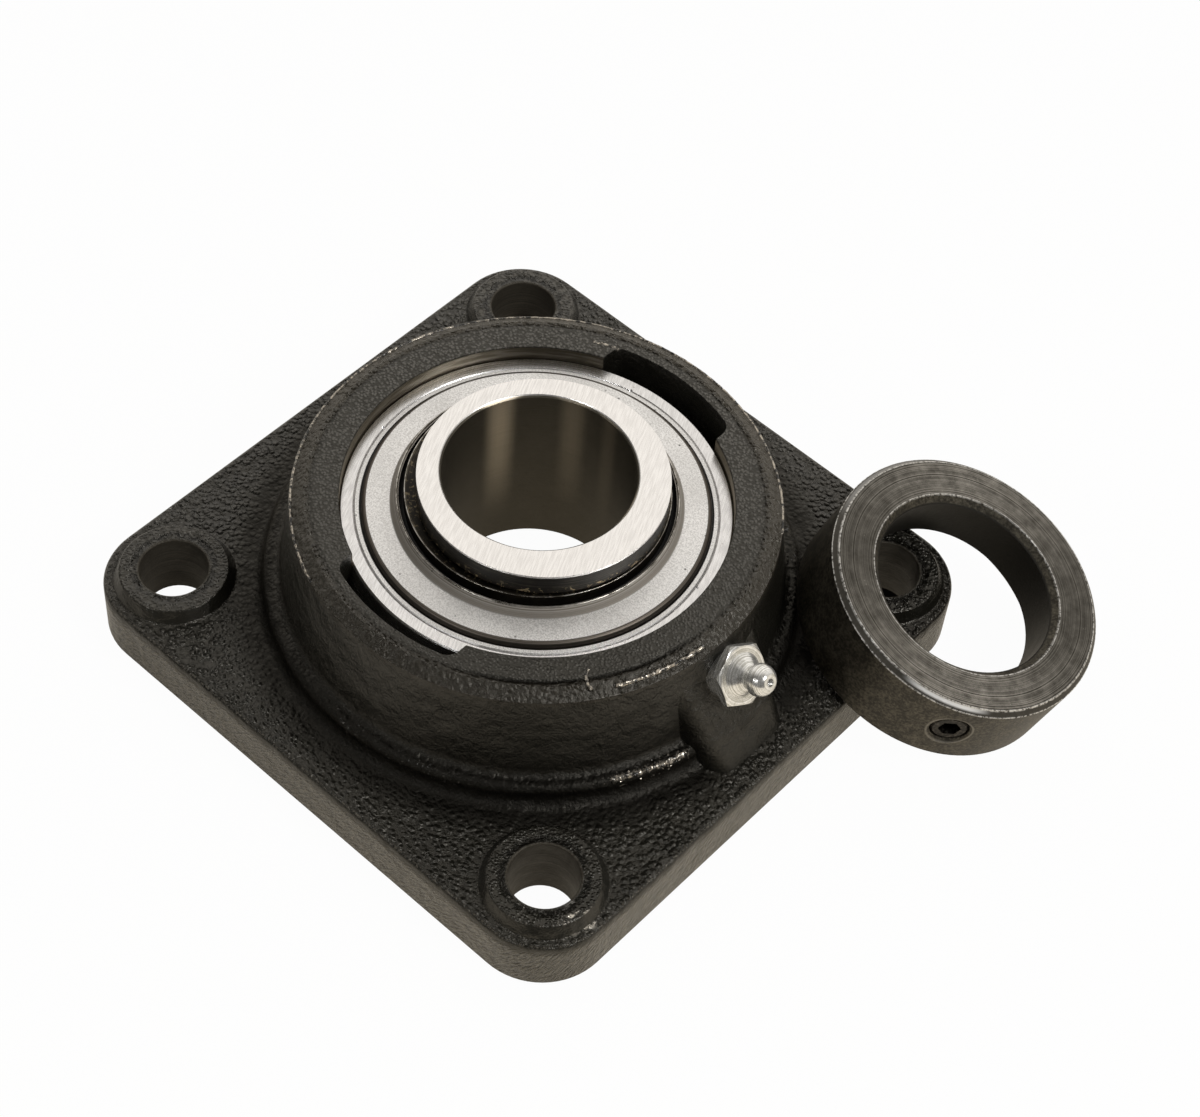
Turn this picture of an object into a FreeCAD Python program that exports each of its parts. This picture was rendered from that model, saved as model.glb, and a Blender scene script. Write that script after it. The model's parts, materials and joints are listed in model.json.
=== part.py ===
import FreeCAD, Part
import math
import os
import Sketcher
from FreeCAD import Placement, Rotation, Vector

# Four-bolt flange bearing unit: a cast square flange housing, a self-aligning ball bearing insert
# with a wide inner ring and an eccentric cam, a grease fitting, and the loose eccentric locking
# collar that lies beside the unit, leaning on one corner of the flange.
# The origin is the centre of the flange's back face, on the bearing axis, with +Z out of the front.
# +X points to the grease fitting.

doc = FreeCAD.newDocument("FlangeBearing")
sheet = doc.addObject("Spreadsheet::Sheet", "Sizes")

SIZES = {
    # flange
    "flange_thickness": 12.4,
    "flange_corner_radius": 14.6,
    "flange_edge_round": 1.3,
    "bolt_spacing": 101.6,
    "bolt_edge_distance": 14.3,
    "bolt_hole_diameter": 13.8,
    "bolt_boss_wall": 3.9,
    "bolt_boss_flare": 1.6,
    "bolt_boss_height": 2.6,
    "bolt_boss_foot_round": 0.7,
    "bolt_boss_top_round": 0.5,
    "bolt_hole_mouth_round": 0.4,
    "back_relief_margin": 5.4,
    "back_relief_depth": 1.6,
    # hub
    "hub_above_seat": 13.95,
    "rim_width": 9.5,
    "hub_draft": 2.4,
    "hub_foot_round": 1.8,
    "foot_step_width": 3.6,
    "foot_step_height": 4.5,
    "foot_step_base_round": 2.6,
    "foot_step_top_round": 1.8,
    "hub_root": 1.0,
    "rim_edge_width": 2.6,
    "rim_edge_drop": 1.6,
    "mouth_step": 1.3,
    "mouth_chamfer": 0.2,
    "slot_width": 30.4,
    "slot_depth": 3.9,
    "slot_corner_round": 3.0,
    # spherical seat
    "seat_height": 24.65,
    "seat_clearance": 0.05,
    "grease_channel_width": 6.4,
    "grease_channel_depth": 1.0,
    "grease_channel_offset": 3.8,
    # grease fitting and its boss
    "fitting_angle": 31.5,
    "fitting_rise": 16.6,
    "fitting_boss_reach": 9.1,
    "fitting_boss_wall": 4.2,
    "fitting_boss_draft": 12.0,
    "fitting_boss_round": 3.6,
    "fitting_boss_bury": 4.0,
    "fitting_thread_diameter": 10.0,
    "fitting_thread_depth": 5.5,
    "fitting_thread_clearance": 0.03,
    "fitting_hole_spare": 0.5,
    "fitting_standoff": 3.2,
    "fitting_hex_step": 0.8,
    "fitting_hex_thickness": 1.9,
    "fitting_neck_diameter": 4.8,
    "fitting_neck_flare": 2.1,
    "fitting_nose_diameter": 6.5,
    "fitting_nose_length": 7.3,
    "fitting_mouth_diameter": 3.2,
    "fitting_bore_diameter": 2.7,
    "fitting_orifice_diameter": 1.6,
    "fitting_wall": 1.0,
    "check_ball_gap": 0.08,
    "grease_passage_diameter": 3.4,
    "check_ball_diameter": 2.2,
    "spring_side_gap": 0.15,
    "spring_wire_diameter": 0.3,
    "spring_turns": 6.0,
    # bearing insert
    "shaft_diameter": 38.1,
    "inner_ring_wall": 7.05,
    "inner_groove_depth": 2.45,
    "outer_groove_depth": 3.15,
    "seal_land": 2.55,
    "seal_seat_depth": 1.9,
    "ring_edge_wall": 4.25,
    "ring_edge_chamfer": 0.35,
    "nick_diameter": 0.7,
    "nick_depth": 0.4,
    "nick_bearing": 11.5,
    "nick_count": 4,
    "oil_groove_width": 2.0,
    "oil_groove_depth": 0.5,
    "oil_hole_diameter": 1.6,
    "oil_hole_offset": 0.3,
    "ball_diameter": 12.7,
    "ball_count": 9,
    "groove_ratio": 1.03,
    "running_gap": 0.03,
    "cage_inner_gap": 2.3,
    "cage_outer_gap": 1.4,
    "cage_end_gap": 0.5,
    "cage_foot": 1.6,
    "cage_horn": 2.6,
    "cage_pocket_gap": 0.15,
    "inner_ring_overhang": 10.93,
    "inner_ring_chamfer": 0.5,
    "cam_shoulder": 0.05,
    "cam_length": 5.8,
    "cam_eccentricity": 1.4,
    "cam_bearing": -8.0,
    "cam_relief_width": 0.8,
    "cam_relief_depth": 0.5,
    # seals
    "seal_steel": 0.5,
    "casing_brim_width": 0.9,
    "casing_brim_rise": 0.15,
    "shroud_shoulder_round": 1.05,
    "shroud_bend_gap": 2.8,
    "shroud_lip_gap": 1.35,
    "shroud_face_rise": 0.35,
    "shroud_lip_rise": 2.15,
    "seal_slit": 0.4,
    "shroud_rise": 1.35,
    "rubber_lip_width": 0.7,
    "lip_gap": 0.1,
    # locking collar and its set screw
    "collar_wall": 2.8,
    "collar_width": 18.4,
    "collar_edge_chamfer": 1.1,
    "collar_back_chamfer": 0.8,
    "collar_bore_chamfer": 1.5,
    "collar_recess_spare": 1.1,
    "collar_recess_shift": 0.2,
    "collar_recess_bearing": 165.0,
    "cam_clearance": 0.25,
    "collar_hub_lap": 16.1,
    "collar_inset": 15.9,
    "collar_rest_gap": 0.25,
    "collar_lean_bearing": 25.2,
    "screw_bearing": -49.9,
    "screw_depth_from_face": 8.7,
    "screw_diameter": 7.94,
    "screw_end_setback": 0.65,
    "screw_clearance": 0.04,
    "screw_recess": 0.65,
    "screw_socket_flats": 4.0,
    "screw_socket_depth": 3.4,
    "screw_countersink": 0.5,
    "screw_edge_chamfer": 0.6,
    "screw_point_chamfer": 1.2,
    "screw_cup_depth": 0.8,
    "screw_cup_width": 0.4,
}

for row, (alias, number) in enumerate(SIZES.items(), start=1):
    sheet.set(f"A{row}", alias)
    sheet.set(f"B{row}", str(number))
    sheet.setAlias(f"B{row}", alias)
doc.recompute()


class Size:
    """A length or angle that carries both its value and the formula that gives it."""

    def __init__(self, value, text):
        self.value = float(value)
        self.text = text

    @staticmethod
    def of(other):
        return other if isinstance(other, Size) else Size(other, repr(float(other)))

    def combine(self, other, sign, result):
        return Size(result, f"({self.text} {sign} {other.text})")

    def __add__(self, other):
        other = Size.of(other)
        return self.combine(other, "+", self.value + other.value)

    def __sub__(self, other):
        other = Size.of(other)
        return self.combine(other, "-", self.value - other.value)

    def __mul__(self, other):
        other = Size.of(other)
        return self.combine(other, "*", self.value * other.value)

    def __truediv__(self, other):
        other = Size.of(other)
        return self.combine(other, "/", self.value / other.value)

    def __radd__(self, other):
        return Size.of(other) + self

    def __rsub__(self, other):
        return Size.of(other) - self

    def __rmul__(self, other):
        return Size.of(other) * self

    def __neg__(self):
        return Size(-self.value, f"(-{self.text})")


def dim(alias):
    """The driving dimension of that name in the sheet."""
    return Size(getattr(sheet, alias), f"Sizes.{alias}")


def half(alias):
    return dim(alias) / 2


def root(size):
    return Size(math.sqrt(size.value), f"sqrt({size.text})")


def sine(angle):
    return Size(math.sin(math.radians(angle.value)), f"sin({angle.text})")


def cosine(angle):
    return Size(math.cos(math.radians(angle.value)), f"cos({angle.text})")


def tangent(angle):
    return Size(math.tan(math.radians(angle.value)), f"tan({angle.text})")


def bind(feature, **sizes):
    """Tie properties to formulas; a double underscore in a name stands for a dot."""
    for name, size in sizes.items():
        feature.setExpression(name.replace("__", "."), Size.of(size).text)


def new_body(label):
    body = doc.addObject("PartDesign::Body", label)
    body.Label = label
    return body


def origin_part(body, role):
    return next(item for item in body.Origin.OriginFeatures if item.Role == role)


def new_sketch(body, name, role="XZ_Plane", offset=None):
    sketch = body.newObject("Sketcher::SketchObject", name)
    sketch.AttachmentSupport = [(origin_part(body, role), "")]
    sketch.MapMode = "FlatFace"
    if offset is not None:
        bind(sketch, AttachmentOffset__Base__z=offset)
    return sketch


def pin_point(sketch, geometry, position, x, y):
    """Hold one point of a sketch at formulas for its two coordinates."""
    for kind, axis, size in (("DistanceX", -2, x), ("DistanceY", -1, y)):
        if size is None:
            continue
        size = Size.of(size)
        if size.text == "0.0":
            sketch.addConstraint(Sketcher.Constraint("PointOnObject", geometry, position, axis))
            continue
        index = sketch.addConstraint(
            Sketcher.Constraint(kind, -1, 1, geometry, position, size.value))
        sketch.setExpression(f"Constraints[{index}]", size.text)


def outline(sketch, corners):
    """Close a loop through the corners. A corner with a third item starts an arc to the next one:
    the item is the arc's centre and "left" or "right", the way the arc turns."""
    spots = [Vector(Size.of(c[0]).value, Size.of(c[1]).value, 0) for c in corners]
    ends = []
    for i, corner in enumerate(corners):
        start, end = spots[i], spots[(i + 1) % len(corners)]
        if len(corner) == 2:
            geometry = sketch.addGeometry(Part.LineSegment(start, end), False)
            ends.append((geometry, 1, 2))
            continue
        cx, cy, way = corner[2]
        centre = Vector(Size.of(cx).value, Size.of(cy).value, 0)
        first, last = (start, end) if way == "left" else (end, start)
        angles = [math.atan2(p.y - centre.y, p.x - centre.x) for p in (first, last)]
        circle = Part.Circle(centre, Vector(0, 0, 1), (start - centre).Length)
        geometry = sketch.addGeometry(Part.ArcOfCircle(circle, *angles), False)
        ends.append((geometry, 1, 2) if way == "left" else (geometry, 2, 1))
        wide = abs(end.x - start.x) > abs(end.y - start.y)
        pin_point(sketch, geometry, 3, None if wide else cx, cy if wide else None)
    for i, (geometry, start, end) in enumerate(ends):
        after, after_start, _ = ends[(i + 1) % len(ends)]
        sketch.addConstraint(Sketcher.Constraint("Coincident", geometry, end, after, after_start))
        pin_point(sketch, geometry, start, corners[i][0], corners[i][1])
    return sketch


def circle(sketch, radius, x=0.0, y=0.0):
    centre = Vector(Size.of(x).value, Size.of(y).value, 0)
    geometry = sketch.addGeometry(Part.Circle(centre, Vector(0, 0, 1), radius.value), False)
    index = sketch.addConstraint(Sketcher.Constraint("Radius", geometry, radius.value))
    sketch.setExpression(f"Constraints[{index}]", radius.text)
    pin_point(sketch, geometry, 3, x, y)
    return sketch


def hexagon(sketch, flats):
    """A hexagon about the origin, with two corners on the sketch's horizontal axis."""
    reach = flats / math.sqrt(3)
    corners = []
    for k in range(6):
        angle = math.radians(60 * k)
        y = 0.0 if k in (0, 3) else reach * round(math.sin(angle), 9)
        corners.append((reach * round(math.cos(angle), 9), y))
    return outline(sketch, corners)


def feature(body, kind, name, profile=None, **sizes):
    made = body.newObject(f"PartDesign::{kind}", name)
    if profile is not None:
        made.Profile = (profile, [""])
    bind(made, **sizes)
    return made


def turn(body, kind, name, corners):
    """Revolve (or groove) an outline in the plane of X and Z about the Z axis."""
    sketch = outline(new_sketch(body, name + "Profile"), corners)
    made = feature(body, kind, name, sketch)
    made.ReferenceAxis = (sketch, ["V_Axis"])
    made.Angle = 360
    return made


def cylinder(body, name, radius, height, x=0.0, y=0.0, z=0.0, rotation=None):
    """Cut a cylinder from the body, standing on the given point along the rotated Z axis."""
    made = feature(body, "SubtractiveCylinder", name, Radius=radius, Height=height)
    if rotation is not None:
        made.Placement = Placement(Vector(0, 0, 0), rotation)
    bind(made, Placement__Base__x=x, Placement__Base__y=y, Placement__Base__z=z)
    return made


def polar(body, name, originals, count):
    pattern = body.newObject("PartDesign::PolarPattern", name)
    pattern.Originals = originals
    pattern.Axis = (origin_part(body, "Z_Axis"), [""])
    pattern.Angle = 360
    bind(pattern, Occurrences=count)
    body.Tip = pattern
    return pattern


def dress(body, kind, name, base, chosen, **sizes):
    """Round or chamfer the edges of the base for which chosen(edge) is true."""
    doc.recompute()
    names = [f"Edge{i}" for i, edge in enumerate(base.Shape.Edges, start=1) if chosen(edge)]
    if not names:
        raise ValueError(f"{name}: no edges found")
    made = body.newObject(f"PartDesign::{kind}", name)
    made.Base = (base, names)
    bind(made, **sizes)
    body.Tip = made
    return made


def is_circle(edge, radius, z):
    """True for an edge of that radius that lies level at that height."""
    curve = edge.Curve
    if not isinstance(curve, Part.Circle):
        return False
    return abs(curve.Radius - radius.value) < 0.01 and abs(curve.Center.z - z.value) < 0.01


def is_vertical(edge):
    if not isinstance(edge.Curve, (Part.Line, Part.LineSegment)):
        return False
    return abs(abs(edge.tangentAt(edge.FirstParameter).z) - 1) < 1e-6


# How far a cutting outline runs past the material it cuts
MARGIN = 1.0

# Radii from the shaft outward: each is the one before it and a named thickness or clearance
shaft_r = half("shaft_diameter")
ball_r = half("ball_diameter")
groove_r = ball_r * dim("groove_ratio")
inner_r = shaft_r + dim("inner_ring_wall")
pitch_r = inner_r + ball_r - dim("inner_groove_depth")
shoulder_r = pitch_r + ball_r - dim("outer_groove_depth")
seal_r = shoulder_r + dim("seal_land")
ring_r = seal_r + dim("ring_edge_wall")
seat_r = ring_r + dim("seat_clearance")
mouth_r = ring_r - dim("mouth_step")
hub_top_r = mouth_r + dim("rim_width")
hub_foot_r = hub_top_r + dim("hub_draft")
cam_r = inner_r - dim("cam_eccentricity") - dim("cam_shoulder")
recess_r = cam_r + dim("cam_clearance")
recess_shift = dim("cam_eccentricity") + dim("collar_recess_shift")
collar_r = recess_r + recess_shift + dim("collar_wall")
bolt = half("bolt_spacing")
flange_half = bolt + dim("bolt_edge_distance")
hole_r = half("bolt_hole_diameter")
thread_r = half("fitting_thread_diameter")

# Heights: the seal seats lie beyond the cage, the ring's faces beyond them
flange_top = dim("flange_thickness")
seat_z = dim("seat_height")
rim_z = seat_z + dim("hub_above_seat")
pocket_r = ball_r + dim("cage_pocket_gap")
seal_ledge = pocket_r + dim("cage_foot") + dim("cage_end_gap")
ring_half = seal_ledge + dim("seal_seat_depth")
inner_half = ring_half + dim("inner_ring_overhang")

# Where the grease fitting meets its boss, and its tilt
boss_reach = hub_foot_r + dim("fitting_boss_reach")
fitting_z = flange_top + dim("fitting_rise")
fitting_x = boss_reach - dim("fitting_rise") * tangent(dim("fitting_angle"))
fitting_turn = Rotation(Vector(0, 1, 0), (90 - dim("fitting_angle")).value)
fitting_place = Placement(Vector(fitting_x.value, 0, fitting_z.value), fitting_turn)


def make_housing():
    body = new_body("housing")
    side = flange_half
    square = [(-side, -side), (side, -side), (side, side), (-side, side)]
    plate = feature(body, "Pad", "Flange", outline(new_sketch(body, "FlangeOutline", "XY_Plane"), square),
                    Length=flange_top)
    rounded = dress(body, "Fillet", "FlangeCorners", plate, is_vertical, Radius=dim("flange_corner_radius"))
    top_edges = lambda edge: all(abs(v.Z - flange_top.value) < 0.001 for v in edge.Vertexes)
    dress(body, "Fillet", "FlangeTopEdge", rounded, top_edges, Radius=dim("flange_edge_round"))

    # boss of the grease fitting: drafted block, faced square to the fitting
    draft = dim("fitting_boss_draft")
    reach = boss_reach
    width = thread_r + dim("fitting_boss_wall")
    sketch = new_sketch(body, "FittingBossOutline", "YZ_Plane", reach)
    outline(sketch, [(-width, half("flange_thickness")), (width, half("flange_thickness")),
                     (width, fitting_z), (-width, fitting_z)])
    boss = feature(body, "Pad", "FittingBoss", sketch, Length=reach - mouth_r - dim("fitting_boss_bury"),
                   TaperAngle=draft)
    boss.Reversed = True
    slope = tangent(dim("fitting_angle"))
    past = rim_z + MARGIN
    side_view = new_sketch(body, "FittingFaceOutline")
    outline(side_view, [(reach, flange_top), (reach + MARGIN, flange_top), (reach + MARGIN, past),
                        (reach - (past - flange_top) * slope, past)])
    face = feature(body, "Pocket", "FittingFace", side_view, Length=reach)
    face.Midplane = True

    def boss_side(edge):
        ends = edge.Vertexes
        if len(ends) != 2 or abs(ends[0].Z - ends[1].Z) < MARGIN or abs(ends[0].X - ends[1].X) < MARGIN:
            return False
        low = min(ends, key=lambda end: end.Z)
        return abs(low.X - reach.value) < 0.01 and abs(abs(low.Y) - width.value) < 0.01

    dress(body, "Fillet", "FittingBossSides", face, boss_side, Radius=dim("fitting_boss_round"))

    # hub: drafted side on a rounded foot step, and a rim edge that falls to the parting line
    foot_r = hub_foot_r
    foot = dim("hub_foot_round")
    drop = dim("rim_edge_drop")
    rim_r = hub_top_r - dim("rim_edge_width")
    sweep = dim("foot_step_base_round")
    brow = dim("foot_step_top_round")
    step_r = foot_r + dim("foot_step_width")
    step_z = flange_top + dim("foot_step_height")
    turn(body, "Revolution", "Hub", [
        (0.0, dim("hub_root")),
        (step_r + sweep, dim("hub_root")),
        (step_r + sweep, flange_top, (step_r + sweep, flange_top + sweep, "right")),
        (step_r, flange_top + sweep),
        (step_r, step_z - brow, (step_r - brow, step_z - brow, "left")),
        (step_r - brow, step_z),
        (foot_r + foot, step_z, (foot_r + foot, step_z + foot, "right")),
        (foot_r, step_z + foot),
        (hub_top_r, rim_z - drop),
        (rim_r, rim_z),
        (0.0, rim_z),
    ])

    # bolt bosses and holes, with soft edges
    lug_r = hole_r + dim("bolt_boss_wall")
    lug_foot_r = lug_r + dim("bolt_boss_flare")
    lug_z = flange_top + dim("bolt_boss_height")
    lug = feature(body, "AdditiveCone", "BoltBoss", Radius1=lug_foot_r, Radius2=lug_r,
                  Height=dim("bolt_boss_height"), Placement__Base__x=bolt,
                  Placement__Base__y=bolt, Placement__Base__z=flange_top)
    hole = cylinder(body, "BoltHole", hole_r, lug_z, x=bolt, y=bolt)
    bosses = polar(body, "BoltPattern", [lug, hole], 4)
    soft = dress(body, "Fillet", "BossFeet", bosses, lambda edge: is_circle(edge, lug_foot_r, flange_top),
                 Radius=dim("bolt_boss_foot_round"))
    soft = dress(body, "Fillet", "BossTops", soft, lambda edge: is_circle(edge, lug_r, lug_z),
                 Radius=dim("bolt_boss_top_round"))
    dress(body, "Fillet", "HoleMouths", soft, lambda edge: is_circle(edge, hole_r, lug_z),
          Radius=dim("bolt_hole_mouth_round"))

    # spherical seat between two equal mouths, with an inner grease channel
    rise = root(seat_r * seat_r - mouth_r * mouth_r)
    chamfer = dim("mouth_chamfer")
    turn(body, "Groove", "Seat", [
        (0.0, 0.0),
        (mouth_r, 0.0),
        (mouth_r, seat_z - rise, (0.0, seat_z, "left")),
        (mouth_r, seat_z + rise),
        (mouth_r, rim_z - chamfer),
        (mouth_r + chamfer, rim_z),
        (0.0, rim_z),
    ])
    channel_r = seat_r + dim("grease_channel_depth")
    channel_z = seat_z - dim("grease_channel_offset")
    channel_half = half("grease_channel_width")
    turn(body, "Groove", "GreaseChannel", [
        (mouth_r, channel_z - channel_half),
        (channel_r, channel_z - channel_half),
        (channel_r, channel_z + channel_half),
        (mouth_r, channel_z + channel_half),
    ])
    cylinder(body, "BackRelief", hub_foot_r + dim("back_relief_margin"), dim("back_relief_depth"))

    # two loading slots, cut from the rim down to the middle of the seat
    across = half("slot_width")
    slot_r = mouth_r + dim("slot_depth")
    along = root(slot_r * slot_r - across * across)
    sketch = new_sketch(body, "SlotOutline", "XY_Plane", seat_z)
    outline(sketch, [(-across, -along, (0.0, 0.0, "left")), (across, -along),
                     (across, along, (0.0, 0.0, "left")), (-across, along)])
    slot = feature(body, "Pocket", "LoadingSlots", sketch, Length=rim_z - seat_z + MARGIN)
    slot.Reversed = True

    def slot_corner(edge):
        spot = edge.CenterOfMass
        away = max(abs(abs(spot.x) - across.value), abs(abs(spot.y) - along.value))
        return is_vertical(edge) and away < 0.01

    dress(body, "Fillet", "SlotCorners", slot, slot_corner, Radius=dim("slot_corner_round"))

    # tapped hole for the fitting and the passage on to the grease channel
    tilt = dim("fitting_angle")
    deep = dim("fitting_thread_depth") + dim("fitting_hole_spare")
    cylinder(body, "FittingHole", thread_r + dim("fitting_thread_clearance"), deep + thread_r,
             x=fitting_x - deep * cosine(tilt), z=fitting_z - deep * sine(tilt),
             rotation=fitting_turn)
    inward = (fitting_x - seat_r) / cosine(tilt) + MARGIN
    cylinder(body, "GreasePassage", half("grease_passage_diameter"), inward,
             x=fitting_x - inward * cosine(tilt), z=fitting_z - inward * sine(tilt),
             rotation=fitting_turn)
    return body


def make_fitting_body():
    body = new_body("grease_fitting_body")
    depth = dim("fitting_thread_depth")
    bore_r = half("fitting_bore_diameter")
    under_hex = dim("fitting_standoff")
    hex_top = under_hex + dim("fitting_hex_thickness")
    nose_z = hex_top + dim("fitting_nose_length")
    nose_r = half("fitting_nose_diameter")
    neck_r = half("fitting_neck_diameter")
    flat_r = half("fitting_mouth_diameter")
    shoulder = nose_z - root(nose_r * nose_r - flat_r * flat_r)
    flare = dim("fitting_neck_flare")
    turn(body, "Revolution", "Turned", [
        (0.0, -depth),
        (thread_r * 0.9, -depth),
        (thread_r, thread_r * 0.2 - depth),
        (thread_r, hex_top),
        (neck_r + flare, hex_top),
        (neck_r, hex_top + flare),
        (neck_r, shoulder - nose_r * 0.4),
        (nose_r, shoulder - nose_r * 0.1),
        (nose_r, shoulder, (0.0, shoulder, "left")),
        (flat_r, nose_z),
        (0.0, nose_z),
    ])
    flat = thread_r + dim("fitting_hex_step")
    sketch = hexagon(new_sketch(body, "HexOutline", "XY_Plane", under_hex), flat * 2)
    hexagonal = feature(body, "Pad", "Hex", sketch, Length=dim("fitting_hex_thickness"))
    # chamfers turned on the hexagon's corners, above and below
    beyond = flat * 2 / math.sqrt(3) + MARGIN
    fall = (beyond - flat) * 0.5
    for name, edge_z, way in (("HexChamfer", hex_top, -1), ("HexBackChamfer", under_hex, 1)):
        turn(body, "Groove", name, [(flat, edge_z), (beyond, edge_z), (beyond, edge_z + fall * way)])
    # the way through: wide bore for the ball and spring, narrow ends
    wall = dim("fitting_wall")
    ledge = under_hex - wall
    top = nose_z - wall
    orifice = half("fitting_orifice_diameter")
    turn(body, "Groove", "Way", [
        (0.0, -depth),
        (orifice, -depth),
        (orifice, ledge),
        (bore_r, ledge),
        (bore_r, top - wall * 0.3),
        (orifice, top),
        (orifice, nose_z),
        (0.0, nose_z),
    ])
    body.Placement = fitting_place
    return body


def check_ball_height():
    """Height of the resting check ball's centre along the fitting."""
    nose_z = dim("fitting_standoff") + dim("fitting_hex_thickness") + dim("fitting_nose_length")
    ball = half("check_ball_diameter")
    orifice = half("fitting_orifice_diameter")
    return nose_z - dim("fitting_wall") - dim("check_ball_gap") - root(ball * ball - orifice * orifice)


def make_check_ball():
    ball = doc.addObject("Part::Sphere", "grease_fitting_ball")
    ball.Label = "grease_fitting_ball"
    bind(ball, Radius=half("check_ball_diameter"))
    centre = fitting_place.multVec(Vector(0, 0, check_ball_height().value))
    ball.Placement = Placement(centre, fitting_turn)
    return ball


def make_spring():
    """A round-wire spring between the ledge in the fitting and the check ball."""
    wire_r = half("spring_wire_diameter").value
    low = (dim("fitting_standoff") - dim("fitting_wall")).value + wire_r
    high = (check_ball_height() - half("check_ball_diameter")).value - wire_r
    coil_r = (half("fitting_bore_diameter") - dim("spring_side_gap")).value - wire_r
    turns = dim("spring_turns").value
    path = Part.makeLongHelix((high - low) / turns, high - low, coil_r)
    section = Part.Wire(Part.makeCircle(wire_r, Vector(coil_r, 0, 0), Vector(0, 1, 0)))
    coil = Part.Wire(path.Edges).makePipeShell([section], True, True)
    spring = doc.addObject("Part::Feature", "grease_fitting_spring")
    spring.Label = "grease_fitting_spring"
    spring.Shape = coil
    spring.Placement = fitting_place.multiply(Placement(Vector(0, 0, low), Rotation()))
    return spring


def make_outer_ring():
    body = new_body("outer_ring")
    edge = dim("ring_edge_chamfer")
    side_half = ring_half - edge
    side_r = root(ring_r * ring_r - side_half * side_half)
    turn(body, "Revolution", "Ring", [
        (shoulder_r, seat_z - seal_ledge),
        (seal_r, seat_z - seal_ledge),
        (seal_r, seat_z - ring_half + edge),
        (seal_r + edge, seat_z - ring_half),
        (side_r - edge, seat_z - ring_half),
        (side_r, seat_z - side_half, (0.0, seat_z, "left")),
        (side_r, seat_z + side_half),
        (side_r - edge, seat_z + ring_half),
        (seal_r + edge, seat_z + ring_half),
        (seal_r, seat_z + ring_half - edge),
        (seal_r, seat_z + seal_ledge),
        (shoulder_r, seat_z + seal_ledge),
    ])
    track = new_sketch(body, "RacewayProfile")
    circle(track, groove_r, x=pitch_r + ball_r + dim("running_gap") - groove_r, y=seat_z)
    groove = feature(body, "Groove", "Raceway", track)
    groove.ReferenceAxis = (track, ["V_Axis"])
    groove.Angle = 360
    # lubrication groove round the outside, with two holes to the space beside the balls
    oil_hole_r = half("oil_hole_diameter")
    groove_half = root(groove_r * groove_r - (shoulder_r - pitch_r) * (shoulder_r - pitch_r))
    oil_z = seat_z - groove_half - oil_hole_r - dim("oil_hole_offset")
    oil_half = half("oil_groove_width")
    turn(body, "Groove", "OilGroove", [
        (ring_r - dim("oil_groove_depth"), oil_z - oil_half),
        (ring_r + MARGIN, oil_z - oil_half),
        (ring_r + MARGIN, oil_z + oil_half),
        (ring_r - dim("oil_groove_depth"), oil_z + oil_half),
    ])
    cylinder(body, "OilHoles", oil_hole_r, ring_r * 2, x=-ring_r, z=oil_z,
             rotation=Rotation(Vector(0, 1, 0), 90))
    # four nicks struck beside the seal, which hold its casing
    nick_r = seal_r + edge
    bearing = dim("nick_bearing")
    nick = cylinder(body, "Nick", half("nick_diameter"), dim("nick_depth") + MARGIN, x=nick_r * cosine(bearing),
                    y=nick_r * sine(bearing), z=seat_z + ring_half - dim("nick_depth"))
    polar(body, "Nicks", [nick], dim("nick_count"))
    return body


def make_inner_ring():
    body = new_body("inner_ring")
    back = seat_z - inner_half
    front = seat_z + inner_half
    shoulder = front - dim("cam_length")
    cut = dim("inner_ring_chamfer")
    turn(body, "Revolution", "Ring", [
        (0.0, back),
        (inner_r - cut, back),
        (inner_r, back + cut),
        (inner_r, shoulder),
        (0.0, shoulder),
    ])
    offset = dim("cam_eccentricity")
    bearing = dim("cam_bearing")
    sketch = new_sketch(body, "CamOutline", "XY_Plane", shoulder)
    circle(sketch, cam_r, x=offset * cosine(bearing), y=offset * sine(bearing))
    feature(body, "Pad", "Cam", sketch, Length=dim("cam_length"))
    # relief turned at the foot of the cam
    low_r = cam_r - offset - dim("cam_relief_depth")
    turn(body, "Groove", "CamRelief", [
        (low_r, shoulder),
        (inner_r + MARGIN, shoulder),
        (inner_r + MARGIN, shoulder + dim("cam_relief_width")),
        (low_r, shoulder + dim("cam_relief_width")),
    ])
    track = new_sketch(body, "RacewayProfile")
    circle(track, groove_r, x=pitch_r - ball_r - dim("running_gap") + groove_r, y=seat_z)
    groove = feature(body, "Groove", "Raceway", track)
    groove.ReferenceAxis = (track, ["V_Axis"])
    groove.Angle = 360
    bore = cylinder(body, "Bore", shaft_r, inner_half * 2, z=back)
    ends = lambda edge: is_circle(edge, shaft_r, back) or is_circle(edge, shaft_r, front)
    dress(body, "Chamfer", "BoreChamfers", bore, ends, Size=cut)
    return body


def make_ball(k):
    ball = doc.addObject("Part::Sphere", f"ball_{k}")
    ball.Label = f"ball_{k}"
    around = Size.of(360.0 * (k - 1)) / dim("ball_count")
    bind(ball, Radius=ball_r, Placement__Base__x=pitch_r * cosine(around),
         Placement__Base__y=pitch_r * sine(around), Placement__Base__z=seat_z)
    return ball


def make_cage():
    """A snap-in cage: a ring below the balls with horns that reach up between them."""
    body = new_body("cage")
    inside = inner_r + dim("cage_inner_gap")
    outside = shoulder_r - dim("cage_outer_gap")
    foot = seat_z - pocket_r - dim("cage_foot")
    horn = seat_z + dim("cage_horn")
    turn(body, "Revolution", "Blank", [(inside, foot), (outside, foot), (outside, horn), (inside, horn)])
    pocket = feature(body, "SubtractiveSphere", "Pocket", Radius=pocket_r,
                     Placement__Base__x=pitch_r, Placement__Base__z=seat_z)
    polar(body, "Pockets", [pocket], dim("ball_count"))
    return body


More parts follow.
